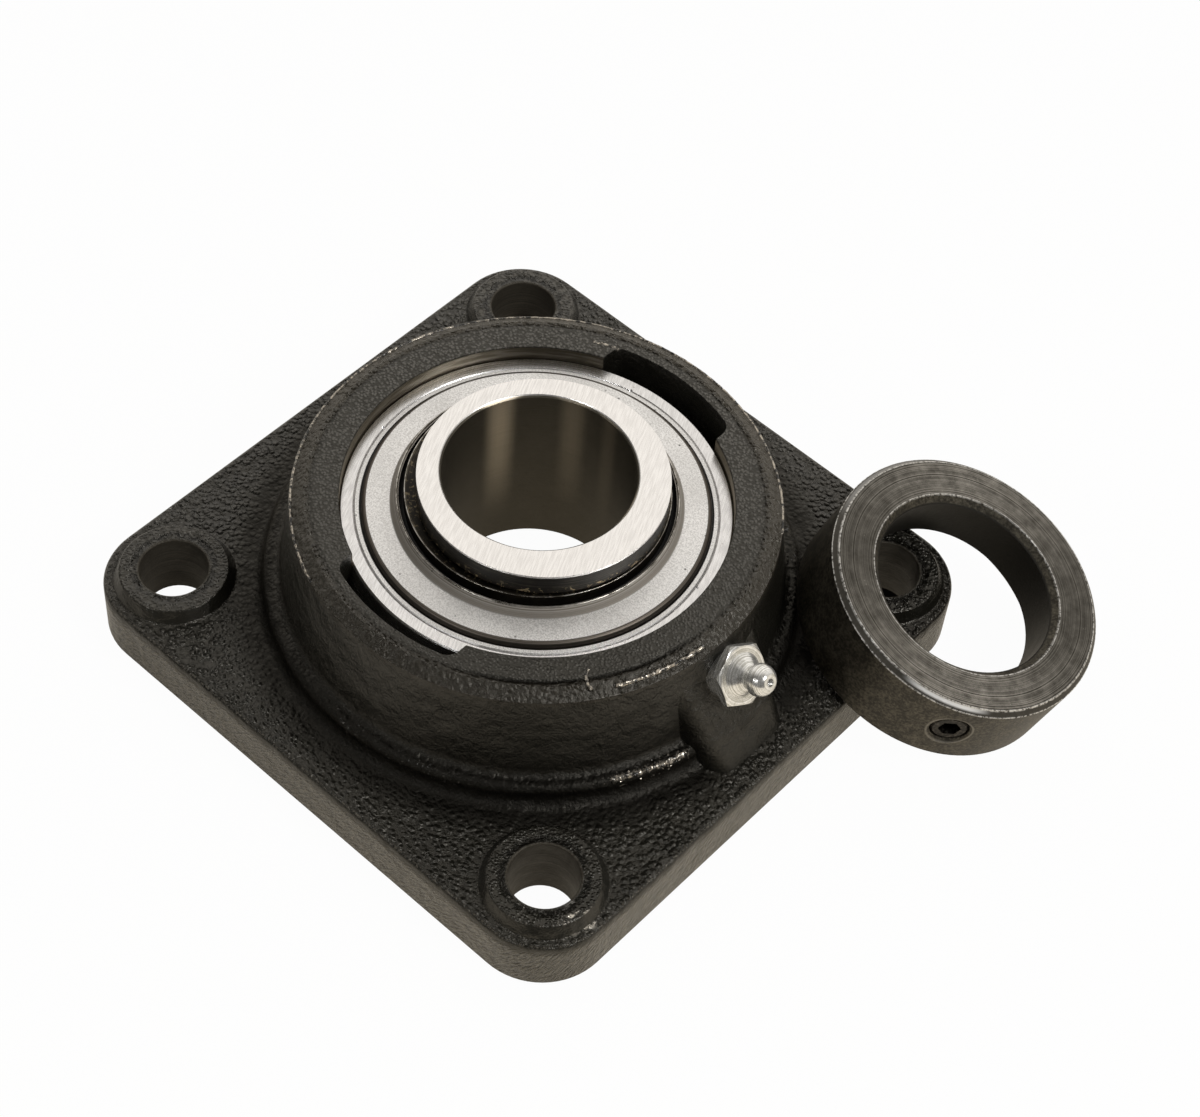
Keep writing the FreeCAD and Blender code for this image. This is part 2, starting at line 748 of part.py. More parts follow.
def make_seal(place, way):
    """Four pieces of one seal; way is +1 at the front of the insert and -1 at its rear."""
    def level(height):
        return seat_z + height if way > 0 else seat_z - height

    def mirrored(corner):
        """The corner at its level; an arc turns the other way at the rear."""
        spot = (corner[0], level(corner[1]))
        if len(corner) == 2:
            return spot
        r, height, turning = corner[2]
        if way < 0:
            turning = {"left": "right", "right": "left"}[turning]
        return (*spot, (r, level(height), turning))

    def piece(name, corners):
        body = new_body(f"{place}_seal_{name}")
        turn(body, "Revolution", "Section", [mirrored(corner) for corner in corners])
        return body

    steel = dim("seal_steel")
    ledge = seal_ledge
    wall_r = seal_r
    brim = ring_half + dim("casing_brim_rise")
    under = brim - steel
    brim_r = wall_r - dim("casing_brim_width")
    turned_r = brim_r - dim("seal_slit")
    bow = dim("shroud_shoulder_round")
    step_r = turned_r - bow
    face = ring_half + dim("shroud_rise")
    bend_r = inner_r + dim("shroud_bend_gap")
    bend = face + dim("shroud_face_rise")
    lip_r = inner_r + dim("shroud_lip_gap")
    lip = bend + dim("shroud_lip_rise")
    bend_in = bend_r - steel * 0.6
    casing = piece("casing", [
        (wall_r - steel, ledge),
        (wall_r, ledge),
        (wall_r, brim - steel * 0.3),
        (wall_r - steel * 0.3, brim),
        (brim_r, brim),
        (brim_r, under),
        (wall_r - steel, under),
    ])
    # the shroud's edge is turned down, its shoulder rounded
    shroud = piece("shroud", [
        (turned_r, under),
        (turned_r, face - bow, (step_r, face - bow, "left")),
        (step_r, face),
        (bend_r, bend),
        (lip_r + steel * 0.2, lip),
        (lip_r - steel * 0.6, lip - steel * 0.3),
        (bend_in, bend - steel),
        (step_r, face - steel, (step_r, face - bow, "right")),
        (turned_r - steel, face - bow),
        (turned_r - steel, under),
    ])
    rubber = piece("rubber", [
        (bend_r + steel, ledge + steel),
        (wall_r - steel, ledge + steel),
        (wall_r - steel, under),
        (turned_r - steel, under),
        (turned_r - steel, face - bow, (step_r, face - bow, "left")),
        (step_r, face - steel),
        (bend_in, bend - steel),
        (inner_r + dim("lip_gap"), bend + dim("rubber_lip_width")),
        (inner_r + dim("lip_gap"), bend),
    ])
    washer = piece("washer", [
        (bend_r, ledge),
        (wall_r - steel, ledge),
        (wall_r - steel, ledge + steel),
        (bend_r, ledge + steel),
    ])
    return [casing, shroud, rubber, washer]


def recess_wall(angle):
    """Distance from the collar's axis to the wall of its recess in that direction, in degrees."""
    turned = math.radians(angle) - math.radians(dim("collar_recess_bearing").value)
    return recess_r.value + recess_shift.value * math.cos(turned)


def resting_lean(toward):
    """Lean at which the collar, its low edge on the ground, comes down on the two flange edges."""
    edge = dim("flange_edge_round")
    off_x = (flange_half - collar_x - edge).value
    off_y = (flange_half - collar_y - edge).value
    along_y = math.sqrt(max(0.0, recess_wall(270) ** 2 - off_x ** 2))
    along_x = math.sqrt(max(0.0, recess_wall(180) ** 2 - off_y ** 2))
    reach = min(along_y * toward.y - off_x * toward.x, along_x * toward.x - off_y * toward.y)
    target = (flange_top + dim("collar_rest_gap")).value
    low, high = 0.0, math.pi / 3
    while high - low > 1e-6:
        middle = (low + high) / 2
        height = collar_foot_r * math.sin(middle) + reach * math.tan(middle)
        if height < target:
            low = middle
        else:
            high = middle
    return high


# The loose collar: centre of its back face in plan, beside the hub's foot, its lean, and the place
# of its outer face
collar_x = hub_foot_r + collar_r - dim("collar_hub_lap")
collar_y = flange_half - dim("collar_inset")
lean_bearing = math.radians(dim("collar_lean_bearing").value)
toward = Vector(math.cos(lean_bearing), math.sin(lean_bearing), 0)
collar_foot_r = (collar_r - dim("collar_back_chamfer")).value
lean = resting_lean(toward)
collar_axis = toward * math.sin(lean) + Vector(0, 0, math.cos(lean))
collar_back = Vector(collar_x.value, collar_y.value, collar_foot_r * math.sin(lean))
collar_turn = Rotation(Vector(-toward.y, toward.x, 0), math.degrees(lean))
collar_place = Placement(collar_back + collar_axis * dim("collar_width").value, collar_turn)
screw_bearing = math.radians(dim("screw_bearing").value)
screw_turn = Rotation(Vector(-math.sin(screw_bearing), math.cos(screw_bearing), 0), 90)


def make_collar():
    """The locking collar about its own axis, with its outer face at height zero."""
    body = new_body("locking_collar")
    outer = collar_r
    width = dim("collar_width")
    edge = dim("collar_edge_chamfer")
    back = dim("collar_back_chamfer")
    mouth = dim("collar_bore_chamfer")
    turn(body, "Revolution", "Ring", [
        (shaft_r, -width),
        (outer - back, -width),
        (outer, back - width),
        (outer, -edge),
        (outer - edge, 0.0),
        (shaft_r + mouth, 0.0),
        (shaft_r, -mouth),
    ])
    bearing = dim("collar_recess_bearing")
    recess = new_sketch(body, "RecessOutline", "XY_Plane", -width)
    circle(recess, recess_r, x=recess_shift * cosine(bearing), y=recess_shift * sine(bearing))
    pocket = feature(body, "Pocket", "Recess", recess,
                     Length=dim("cam_length") + dim("collar_recess_spare"))
    pocket.Reversed = True
    screw_r = half("screw_diameter")
    level = -dim("screw_depth_from_face")
    cylinder(body, "ScrewHole", screw_r, outer + MARGIN, z=level, rotation=screw_turn)
    # the countersink cuts deeper than its own size, to clear the bulge of the collar's side
    sink = dim("screw_countersink")
    sunk = feature(body, "SubtractiveCone", "ScrewCountersink", Radius1=screw_r, Radius2=screw_r + sink * 2,
                   Height=sink * 2)
    sunk.Placement = Placement(Vector(0, 0, 0), screw_turn)
    rim = outer - sink * 1.4
    bind(sunk, Placement__Base__x=rim * math.cos(screw_bearing),
         Placement__Base__y=rim * math.sin(screw_bearing), Placement__Base__z=level)
    body.Placement = collar_place
    return body


def make_set_screw():
    """The collar's socket set screw about its own axis, with its outer end at height zero."""
    body = new_body("collar_set_screw")
    outer = half("screw_diameter") - dim("screw_clearance")
    length = collar_r - shaft_r - dim("screw_recess") - dim("screw_end_setback")
    edge = dim("screw_edge_chamfer")
    point = dim("screw_point_chamfer")
    turn(body, "Revolution", "Turned", [
        (0.0, dim("screw_cup_depth") - length),
        (outer - point - dim("screw_cup_width"), -length),
        (outer - point, -length),
        (outer, point - length),
        (outer, -edge),
        (outer - edge, 0.0),
        (0.0, 0.0),
    ])
    sketch = hexagon(new_sketch(body, "SocketOutline", "XY_Plane"), dim("screw_socket_flats"))
    feature(body, "Pocket", "Socket", sketch, Length=dim("screw_socket_depth"))
    reach = (collar_r - dim("screw_recess")).value
    local = Placement(Vector(reach * math.cos(screw_bearing), reach * math.sin(screw_bearing),
                             -dim("screw_depth_from_face").value), screw_turn)
    body.Placement = collar_place.multiply(local)
    return body


pieces = [make_housing(), make_fitting_body(), make_check_ball(), make_spring(), make_outer_ring()]
pieces += make_seal("front", 1) + make_seal("rear", -1)
pieces += [make_inner_ring(), make_cage()]
pieces += [make_ball(k + 1) for k in range(int(dim("ball_count").value))]
pieces += [make_collar(), make_set_screw()]
doc.recompute()

for item in doc.Objects:
    if {"Invalid", "Error"} & set(item.State):
        raise ValueError(f"{item.Label} failed: {item.State}")
for piece in pieces:
    shape = piece.Shape
    if shape.isNull() or not shape.isValid() or len(shape.Solids) != 1:
        raise ValueError(f"{piece.Label} has no single valid solid")

os.makedirs("parts", exist_ok=True)
for piece in pieces:
    piece.Shape.exportStep(f"parts/{piece.Label}.step")
    print(f"{piece.Label:24s} {piece.Shape.Volume:12.1f} mm3")
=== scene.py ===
# %% [markdown]
# # A four-bolt flange bearing
#
# The object is a bearing unit for a machine frame: a square cast-iron flange with a round hub,
# painted black, and a ball bearing insert in the hub. Beside it lies the steel collar that locks
# the shaft. The shapes of the machined pieces come from the CAD model, so the work here is light,
# surface finish, and the small irregular forms that only a casting has.
#
# First the CAD model is loaded.

# %% Load the frame
import json
import math

import bpy
from mathutils import Matrix, Vector


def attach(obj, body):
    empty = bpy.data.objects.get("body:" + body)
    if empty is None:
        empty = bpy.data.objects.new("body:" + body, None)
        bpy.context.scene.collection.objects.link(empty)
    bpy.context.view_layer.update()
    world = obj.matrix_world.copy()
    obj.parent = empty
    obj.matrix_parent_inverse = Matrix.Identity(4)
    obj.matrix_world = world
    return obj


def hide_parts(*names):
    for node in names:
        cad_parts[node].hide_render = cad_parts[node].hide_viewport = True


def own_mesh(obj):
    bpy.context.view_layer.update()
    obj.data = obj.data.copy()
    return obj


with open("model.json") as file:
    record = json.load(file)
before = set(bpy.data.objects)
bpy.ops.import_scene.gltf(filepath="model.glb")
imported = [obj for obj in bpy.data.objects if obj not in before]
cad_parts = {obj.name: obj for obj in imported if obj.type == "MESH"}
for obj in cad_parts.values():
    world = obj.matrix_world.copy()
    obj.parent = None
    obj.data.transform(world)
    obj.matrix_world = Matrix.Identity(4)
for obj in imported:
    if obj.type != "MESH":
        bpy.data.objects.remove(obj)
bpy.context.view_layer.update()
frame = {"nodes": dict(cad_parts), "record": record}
MM = 0.001
mounts = {mount["name"]: mount for mount in frame["record"]["mounts"]}
print("nodes:", len(frame["nodes"]), "mounts:", len(mounts))

# %% [markdown]
# ## The camera
#
# A photograph fixes where the camera stood: the direction it looks along, its roll, its distance
# and its focal length. A camera could be aimed with a Track To constraint, but a rotation matrix
# made from three directions is exact and is easy to read: right, up, and back towards the camera.

# %% Place the camera
AZIMUTH, ELEVATION, ROLL = (math.radians(angle) for angle in (37.953, 52.269, 5.711))
TARGET = Vector((7.869, 11.471, 15.0)) * MM
DISTANCE = 558.44 * MM
FOCAL_SHARE = 2755.85 / 1200

across = Vector((math.cos(AZIMUTH), math.sin(AZIMUTH), 0))
back = Vector((math.sin(AZIMUTH) * math.cos(ELEVATION),
               -math.cos(AZIMUTH) * math.cos(ELEVATION), math.sin(ELEVATION)))
upward = back.cross(across)
right = math.cos(ROLL) * across + math.sin(ROLL) * upward
up = math.cos(ROLL) * upward - math.sin(ROLL) * across

camera_data = bpy.data.cameras.new("camera")
camera_data.sensor_fit = "HORIZONTAL"
camera_data.sensor_width = 36.0
camera_data.lens = camera_data.sensor_width * FOCAL_SHARE
camera_data.clip_start = 0.01
camera = bpy.data.objects.new("camera", camera_data)
camera.matrix_world = Matrix.Translation(TARGET + back * DISTANCE) @ Matrix(
    (right, up, back)).transposed().to_4x4()
bpy.context.scene.collection.objects.link(camera)
bpy.context.scene.camera = camera
print("lens:", round(camera_data.lens, 2), "mm")

# %% [markdown]
# ## Writing materials as sums
#
# A procedural material is a sum: noise here, a mask there. Wiring each Math node by hand hides
# that sum. `Value` wraps one output of a node, so that `mask * 0.4 + grain` adds the Math nodes.


# %% Values to calculate with
class Value:
    """One output of a shader node, to calculate with."""

    def __init__(self, finish, socket):
        self.finish = finish
        self.socket = socket

    def math(self, operation, *others):
        terms = dict(enumerate((self, *others)))
        return self.finish.node("ShaderNodeMath", dict(operation=operation), terms)

    def __add__(self, other):
        return self.math("ADD", other)

    def __sub__(self, other):
        return self.math("SUBTRACT", other)

    def __mul__(self, other):
        return self.math("MULTIPLY", other)

    def __rsub__(self, other):
        return self * -1.0 + other

    __radd__ = __add__
    __rmul__ = __mul__

    def power(self, exponent):
        return self.math("POWER", exponent)

    def either(self, other):
        """Both masks together, at most 1."""
        return (self + other).math("MINIMUM", 1.0)

    def above(self, low, high):
        """0 below low, 1 above high, and a smooth step between."""
        return self.finish.node("ShaderNodeMapRange", dict(interpolation_type="SMOOTHSTEP"),
                                {"Value": self, "From Min": low, "From Max": high})

    def below(self, low, high):
        """1 below low, 0 above high, and a smooth step between."""
        return 1 - self.above(low, high)

    def near(self, middle, reach):
        """1 at the middle, falling smoothly to 0 at that distance on both sides."""
        return (self - middle).math("ABSOLUTE").below(0.0, reach)


print("operations of a value:", [name for name in vars(Value) if name.islower() and name[0] != "_"])

# %% [markdown]
# ## One class for a finish
#
# `Finish` owns a material and makes every kind of node through one method. Its shorter methods give
# what a maker asks for: a place in millimetres, a grain, a blend of two colours, a depth.

# %% Finishes
SHARE, FIRST_COLOUR, SECOND_COLOUR, MIXED_COLOUR = 0, 6, 7, 2  # sockets of a Mix node for colours


class Finish:
    """A material or a world with one shader, and the nodes that feed it."""

    def __init__(self, name, kind=bpy.data.materials, shader="Principled BSDF", **constants):
        self.material = kind.new(name)
        self.material.use_nodes = True
        self.tree = self.material.node_tree
        self.shader = self.tree.nodes[shader]
        for socket, number in constants.items():
            self.shader.inputs[socket.replace("_", " ")].default_value = number

    def node(self, kind, settings=None, inputs=None, output=0):
        """A node with its settings, then its sockets. An output of None gives all of them."""
        made = self.tree.nodes.new(kind)
        for name, value in (settings or {}).items():
            setattr(made, name, value)
        for name, value in (inputs or {}).items():
            if isinstance(value, Value):
                self.tree.links.new(value.socket, made.inputs[name])
            else:
                made.inputs[name].default_value = value
        if output is None:
            return [Value(self, socket) for socket in made.outputs]
        return Value(self, made.outputs[output])

    def feed(self, **values):
        for name, value in values.items():
            self.tree.links.new(value.socket, self.shader.inputs[name.replace("_", " ")])

    def place(self, origin=(0, 0, 0), turn=(0, 0, 0)):
        """The place in millimetres from an origin, in axes turned by three angles."""
        here = self.node("ShaderNodeTexCoord", output="Object")
        scaled = self.node("ShaderNodeVectorMath", dict(operation="SCALE"),
                           {0: here, "Scale": 1 / MM})
        return self.node("ShaderNodeMapping", dict(vector_type="TEXTURE"),
                         {"Vector": scaled, "Location": origin, "Rotation": turn})

    def round_place(self, origin=(0, 0, 0), turn=(0, 0, 0)):
        """The place, its x, y and z, and its distance from the z axis."""
        here = self.place(origin, turn)
        x, y, z = self.node("ShaderNodeSeparateXYZ", inputs={0: here}, output=None)
        return here, x, y, z, self.radius(x, y)

    def join(self, x, y, z):
        return self.node("ShaderNodeCombineXYZ", inputs={0: x, 1: y, 2: z})

    def radius(self, x, y):
        return (x * x + y * y).power(0.5)

    def toward(self, x, y, bearing):
        """How far a place lies in a direction, given in degrees from +X."""
        return x * math.cos(math.radians(bearing)) + y * math.sin(math.radians(bearing))

    def noise(self, at, scale, detail=3.0, rough=0.55, distortion=0.0):
        return self.node("ShaderNodeTexNoise", inputs={
            "Vector": at, "Scale": scale, "Detail": detail, "Roughness": rough,
            "Distortion": distortion})

    def lines(self, x, y, z, detail=2.0, rough=0.6, scale=1.0, distortion=0.0):
        """A noise stretched by the scale of its three axes, as tool marks are."""
        return self.noise(self.join(x, y, z), scale, detail, rough, distortion)

    def cells(self, at, scale):
        """Distance to the middle of the nearest of many small cells."""
        return self.node("ShaderNodeTexVoronoi", inputs={"Vector": at, "Scale": scale},
                         output="Distance")

    def blend(self, share, first, second):
        """The first colour where share is 0, the second where it is 1."""
        first, second = (colour if isinstance(colour, Value) else (*colour, 1.0)
                         for colour in (first, second))
        return self.node("ShaderNodeMix", dict(data_type="RGBA"),
                         {SHARE: share, FIRST_COLOUR: first, SECOND_COLOUR: second},
                         MIXED_COLOUR)

    def bump(self, height, depth):
        """A normal from a height of 0 to 1, that many millimetres deep."""
        return self.node("ShaderNodeBump", inputs={
            "Height": height, "Distance": depth * MM, "Strength": 1.0})


print("a finish can:", [name for name in vars(Finish) if name[0] != "_"])


# %% Dress a CAD node
def dress(finish, *nodes):
    """Give CAD nodes that finish."""
    for name in nodes:
        slots = frame["nodes"][name].data.materials
        slots.clear()
        slots.append(finish.material)
    print(finish.material.name, "on", ", ".join(nodes))


print("nodes to dress:", len(frame["nodes"]))

# %% [markdown]
# ## Black paint on a casting: where things are
#
# The housing is cast in a sand mould and painted. One texture stretched over everything would look
# like plastic, so several grains are made, and masks choose between them. A mask could be painted
# by hand on an unwrapped mesh, but the casting's sizes are known, so each mask is a smooth step
# in height, radius, or distance from a bolt hole. The upward part of the normal tells level tops
# from walls.

# %% Places on the housing
MOUTH_RADIUS, SEAT_RADIUS, SEAT_HEIGHT = 38.7, 40.05, 24.65
RIM_HEIGHT, RIM_RADIUS, ROLL_HEIGHT = 38.6, 44.3, 35.6
HUB_FOOT_RADIUS, HOLE_RADIUS, BOSS_RADIUS = 56.0, 7.2, 12.0
BOLT = 50.8
FLANGE_TOP = 9.5
FITTING_FACE = 49.0

cast = Finish("cast_paint", IOR=1.52, Specular_Tint=(1.0, 0.95, 0.85, 1.0))
here, x, y, z, r = cast.round_place()
normal = cast.node("ShaderNodeNewGeometry", output="Normal")
upright = cast.node("ShaderNodeSeparateXYZ", inputs={0: normal}, output="Z")
level = upright.above(0.75, 0.95)
rolled_edge = r.above(RIM_RADIUS, RIM_RADIUS + 0.6) * z.above(ROLL_HEIGHT, ROLL_HEIGHT + 0.8)
on_rim = z.above(RIM_HEIGHT - 0.5, RIM_HEIGHT - 0.1) * (1 - rolled_edge)
on_hub = r.below(HUB_FOOT_RADIUS, HUB_FOOT_RADIUS + 1.0)
bolt_r = cast.radius(x.math("ABSOLUTE") - BOLT, y.math("ABSOLUTE") - BOLT)
in_hole = bolt_r.below(HOLE_RADIUS, HOLE_RADIUS + 0.3)
on_boss = bolt_r.below(BOSS_RADIUS, BOSS_RADIUS + 1.5)
side = (1 - level) * (1 - on_hub) * (1 - in_hole) * z.below(FLANGE_TOP, FLANGE_TOP + 2.0)
beside_fitting = x.above(FITTING_FACE, FITTING_FACE + 2.0) * y.math("ABSOLUTE").below(9.0, 12.0)
foot = r.above(49.5, 52.5) * r.below(57.0, 64.0) * z.below(28.0, 34.0) * (1 - beside_fitting)
rougher = (y * 0.7 - x * 0.7).above(-60.0, 60.0)
# Painted light: this mask makes the far side of the rim and of the rolled edge lighter.
far_side_painted_light = (y * 0.79 - x * 0.61).above(-50.0, 40.0)
print("nodes for the masks:", len(cast.tree.nodes))

# %% [markdown]
# ## The grains of the casting
#
# Flat tops carry the print of the sand: small domes with narrow gullies between them, softened by
# thick glossy paint. A texture of cells turned upside down gives the domes, and a noise whose
# middle values are stretched to a steep step gives pebbles between them, where plain noise gives
# only soft hills. The flange's sides are drawn from the mould, so their grain is a noise stretched
# along the draw. The front corner and the brinks of the bosses carry painted glints: bright flecks
# laid into the colour. All the grains add up to one height.

# %% Grains of the casting
grain_place = cast.join(x + z * 0.4, y - z * 0.3, z)
domes = cast.cells(grain_place, 0.88).below(0.08, 0.72)
small_domes = cast.cells(here, 1.6).below(0.05, 0.75)
pebbles = cast.noise(grain_place, 1.0).above(0.32, 0.64)
peel = cast.noise(here, 2.0, 3.0, 0.6)
crackle = cast.noise(here, 0.55, 4.0, 0.6, 1.2)
streaks = cast.lines((x + y - z) * 1.2, (x + y + z) * 0.35, 0.0)
hole_rings = cast.lines(0.0, 0.0, z * 1.6, 3.0, 0.7)
waves = cast.noise(here, 0.14, 2.0, 0.5)
pinholes = cast.noise(here, 1.3, 2.0, 0.5).above(0.67, 0.72)

finer = on_rim.either(on_boss)
pebbled = level * (0.30 + rougher * 0.40 + waves * 0.4) * (1 - finer) * (1 - foot * 0.7)
torn = bolt_r.near(8.1, 1.0) * level * crackle.above(0.42, 0.58)
# Painted glints: bright flecks on the rounded brinks, laid into the colour and the bump.
painted_brink_glints = upright.near(0.80, 0.14) * (1 - on_hub) * peel.above(0.50, 0.60)
# Painted glints: a patch of bright flecks on the front corner, in the colour, metal and bump.
beyond_corner = (x * 0.925 - y * 0.382).near(77.2, 2.6)
along_corner = (x * 0.382 + y * 0.925).near(-25.2, 6.0)
painted_corner_glints = (beyond_corner * along_corner).above(0.10, 0.45)
painted_corner_glints = painted_corner_glints * upright.above(0.5, 0.8) * cast.noise(here, 0.9, 3.0, 0.6).above(0.47, 0.56)
groove_side = (x * 0.82 - y * 0.57).above(36.0, 43.0)
groove = r.near(RIM_RADIUS + 0.2, 0.8) * z.above(34.0, 35.0) * (0.35 + groove_side * 0.65)
height = ((domes * 1.3 + pebbles * 0.4) * pebbled
          + small_domes * finer * level * 0.34
          + peel * (0.26 - on_boss * 0.10)
          + crackle * (on_rim * 0.2 + (1 - level) * on_hub * 0.6)
          + streaks * side * 1.4
          + waves * 1.6 + painted_corner_glints * 0.8 + painted_brink_glints * 0.4
          - pinholes * on_rim * 0.5 - torn * 0.9 - groove * 0.8)
print("nodes for masks and grains:", len(cast.tree.nodes))

# %% [markdown]
# ## The colours of the casting
#
# Paint on iron is never one black. The rim is rubbed grey on the tops of its grain, and painted
# light makes the far side of the rim and of the rolled edge lighter. The sides are streaked, the
# holes are rusty, and the tops of the pebbles towards the far left carry a painted highlight. The
# hollow at the foot of the hub, the torn edges of the holes and the groove by the rolled edge are
# painted near black as shade. The mouth and the seat are machined bare with turned lines. Each is
# a blend laid over the last, as a painter would. A little Metallic with a near-black colour takes
# the gloss out of a pocket that no light reaches.

# %% Colours of the casting
deep = cast.radius(r, z - SEAT_HEIGHT)
mouth = r.near(MOUTH_RADIUS, 0.3).above(0.1, 0.2) * z.below(RIM_HEIGHT - 0.3, RIM_HEIGHT - 0.1)
bare = mouth.either(deep.near(SEAT_RADIUS, 0.4).above(0.1, 0.2))
turned = cast.lines(0.0, r * 0.4, z * 4.0)
scoured = cast.lines(x * 0.12, y * 0.12, z * 1.5, 3.0, 0.6, 0.8)
patchy = cast.noise(here, 0.05, 2.0, 0.5)

black = cast.blend(patchy.above(0.35, 0.7), (0.0075, 0.0070, 0.0052), (0.014, 0.013, 0.010))
rim_grain = (small_domes * 0.6 + peel * 0.4).above(0.25, 0.70)
rim = cast.blend(rim_grain * (0.35 + far_side_painted_light * 0.65), (0.016, 0.015, 0.012), (0.105, 0.099, 0.087))
drawn = cast.blend(streaks.above(0.36, 0.64), (0.011, 0.0095, 0.0065), (0.098, 0.086, 0.063))
rusty = cast.blend(hole_rings.above(0.40, 0.60), (0.013, 0.0112, 0.0082), (0.046, 0.039, 0.028))
rolled = cast.blend(far_side_painted_light, (0.017, 0.0145, 0.0105), (0.044, 0.037, 0.026))
iron = cast.blend(scoured.above(0.40, 0.62), (0.085, 0.073, 0.053), (0.165, 0.147, 0.118))
# Painted highlight: the tops of the pebbles towards the far left are made lighter.
painted_pebble_highlight = ((domes * 0.7 + pebbles * 0.5).above(0.30, 0.85) * level * rougher
            * (1 - on_rim) * (1 - rolled_edge))
# Painted shade: the foot of the hub, the torn hole edges and the groove are made near black.
painted_shade_pockets = (foot * 0.8).either(torn).either(groove)

painted = cast.blend(side, black, drawn)
for share, colour in ((on_rim, rim), (rolled_edge * 0.8, rolled), (in_hole, rusty),
                      (painted_pebble_highlight * 0.85, (0.080, 0.075, 0.065)),
                      (painted_shade_pockets, (0.0035, 0.0030, 0.0022)),
                      (painted_brink_glints * 0.6, (0.16, 0.145, 0.12)),
                      (painted_corner_glints * 0.9, (0.60, 0.56, 0.49)), (bare, iron)):
    painted = cast.blend(share, painted, colour)
cast.feed(Base_Color=painted,
          Metallic=bare.either(foot * 0.6 + groove * 0.7 + painted_corner_glints * 0.8),
          Roughness=(0.17 + patchy * 0.10 + on_rim * 0.16 + in_hole * 0.35 + bare * 0.15
                     + (1 - level) * on_hub * 0.10 + foot * 0.12),
          Normal=cast.bump(cast.blend(bare, height, turned * 0.10), 0.60))
dress(cast, "housing")

# %% [markdown]
# ## Ground steel
#
# The face of the outer ring is ground: near white under a white sky, with a faint lay of lines
# from the grinding wheel. Roughness alone gives a dull mirror, so the lay is a very shallow bump,
# with a slow change of tone. A few small spots of stain darken it.

# %% Outer ring steel
steel = Finish("ring_steel", Metallic=1.0)
here, x, y, z, r = steel.round_place()
hatch = steel.lines((x + y * 0.5) * 3.0, (y - x * 0.5) * 0.3, z, 2.0, 0.5)
lay = steel.lines(r * 6.0, z * 6.0, 0.0)
spots = steel.noise(here, 1.3, 2.0, 0.5).above(0.70, 0.76)
tone = steel.blend(hatch.above(0.3, 0.7), (0.66, 0.65, 0.645), (0.84, 0.83, 0.825))
steel.feed(Base_Color=steel.blend(spots * 0.5, tone, (0.30, 0.27, 0.24)),
           Roughness=0.22 + lay * 0.10,
           Normal=steel.bump(lay * 0.4 + hatch, 0.007))
dress(steel, "outer_ring")

# %% [markdown]
# ## The inner ring
#
# Only the end face of the inner ring is ground bright. Its outside, with the eccentric cam and the
# turned relief at the cam's foot, keeps the dark skin of heat treatment, where the lathe's lines
# carry thin painted streaks of light and the cam a few painted golden glints. The bore is ground,
# and its few long upright streaks are painted reflections. They could be left to reflections, but
# a soft room has nothing so sharp in it, so each streak is laid into the colour at its own bearing
# round the bore.

# %% Inner ring steel
SHAFT_RADIUS = 19.05
RING_FACE, SHOULDER_TOP = 46.08, 40.28
# Painted reflections: upright bright streaks laid into the bore's colour, one for each bearing.
BORE_PAINTED_REFLECTIONS = ((157, 0.030, 0.95), (112, 0.024, 0.34), (86, 0.014, 0.20),
                (18, 0.06, 0.4), (-70, 0.06, 0.3))  # bearing in degrees, width, strength
inner = Finish("inner_ring_steel", Metallic=1.0)
here, x, y, z, r = inner.round_place()
on_face = z.above(RING_FACE - 0.55, RING_FACE - 0.45)
in_bore = r.below(SHAFT_RADIUS + 0.25, SHAFT_RADIUS + 0.45)
on_skin = (1 - on_face) * (1 - in_bore)
hatch = inner.lines((x + y * 0.5) * 2.6, (y - x * 0.5) * 0.22, 0.0, 2.0, 0.5)
turned = inner.lines(r * 2.0, z * 5.0, 0.0)
honed = inner.lines(x * 0.05, y * 0.05, z * 14.0)
blotch = inner.noise(here, 0.25, 3.0, 0.6)
# Painted glints: golden flecks on the cam just above its shoulder.
painted_cam_glints = inner.noise(here, 0.9, 3.0, 0.6, 1.0).above(0.56, 0.64) * z.near(SHOULDER_TOP + 1.2, 1.8)

bright = inner.blend(hatch.above(0.3, 0.7), (0.80, 0.78, 0.76), (0.94, 0.92, 0.90))
# Painted streaks of light along the lathe's lines, over the dark skin.
dark = inner.blend((turned + blotch * 0.4).above(0.66, 0.96),
                   (0.011, 0.0092, 0.0068), (0.080, 0.069, 0.051))
dark = inner.blend(painted_cam_glints, dark, (0.45, 0.36, 0.22))
bore = inner.blend(blotch, (0.085, 0.077, 0.058), (0.125, 0.113, 0.091))
for bearing, width, strength in BORE_PAINTED_REFLECTIONS:
    reach = inner.toward(x, y, bearing) * (1 / SHAFT_RADIUS)
    painted_sheen = reach.above(1.0 - width, 1.0 + width * 0.25).power(2.0) * z.above(8.0, 46.0)
    bore = inner.blend(painted_sheen * (0.75 + honed * 0.5) * strength, bore, (0.88, 0.77, 0.60))
marks = hatch * on_face * 0.012 + turned * on_skin * 0.01 + honed * in_bore * 0.05
inner.feed(Base_Color=inner.blend(in_bore, inner.blend(on_skin, bright, dark), bore),
           Metallic=1 - on_skin * 0.22,
           Roughness=0.24 + on_skin * 0.08 + in_bore * 0.22 + blotch * 0.06,
           Normal=inner.bump(marks, 1.0))
dress(inner, "inner_ring")

# %% [markdown]
# ## Pressed steel of the seal
#
# The seal's dished shroud is pressed from sheet and tumbled, which leaves an even satin with tiny
# dark specks and a few deeper pits. A texture of small cells gives the pits; a plain noise would
# give clouds instead of dots. The turned-down edge and the dished middle are painted darker.

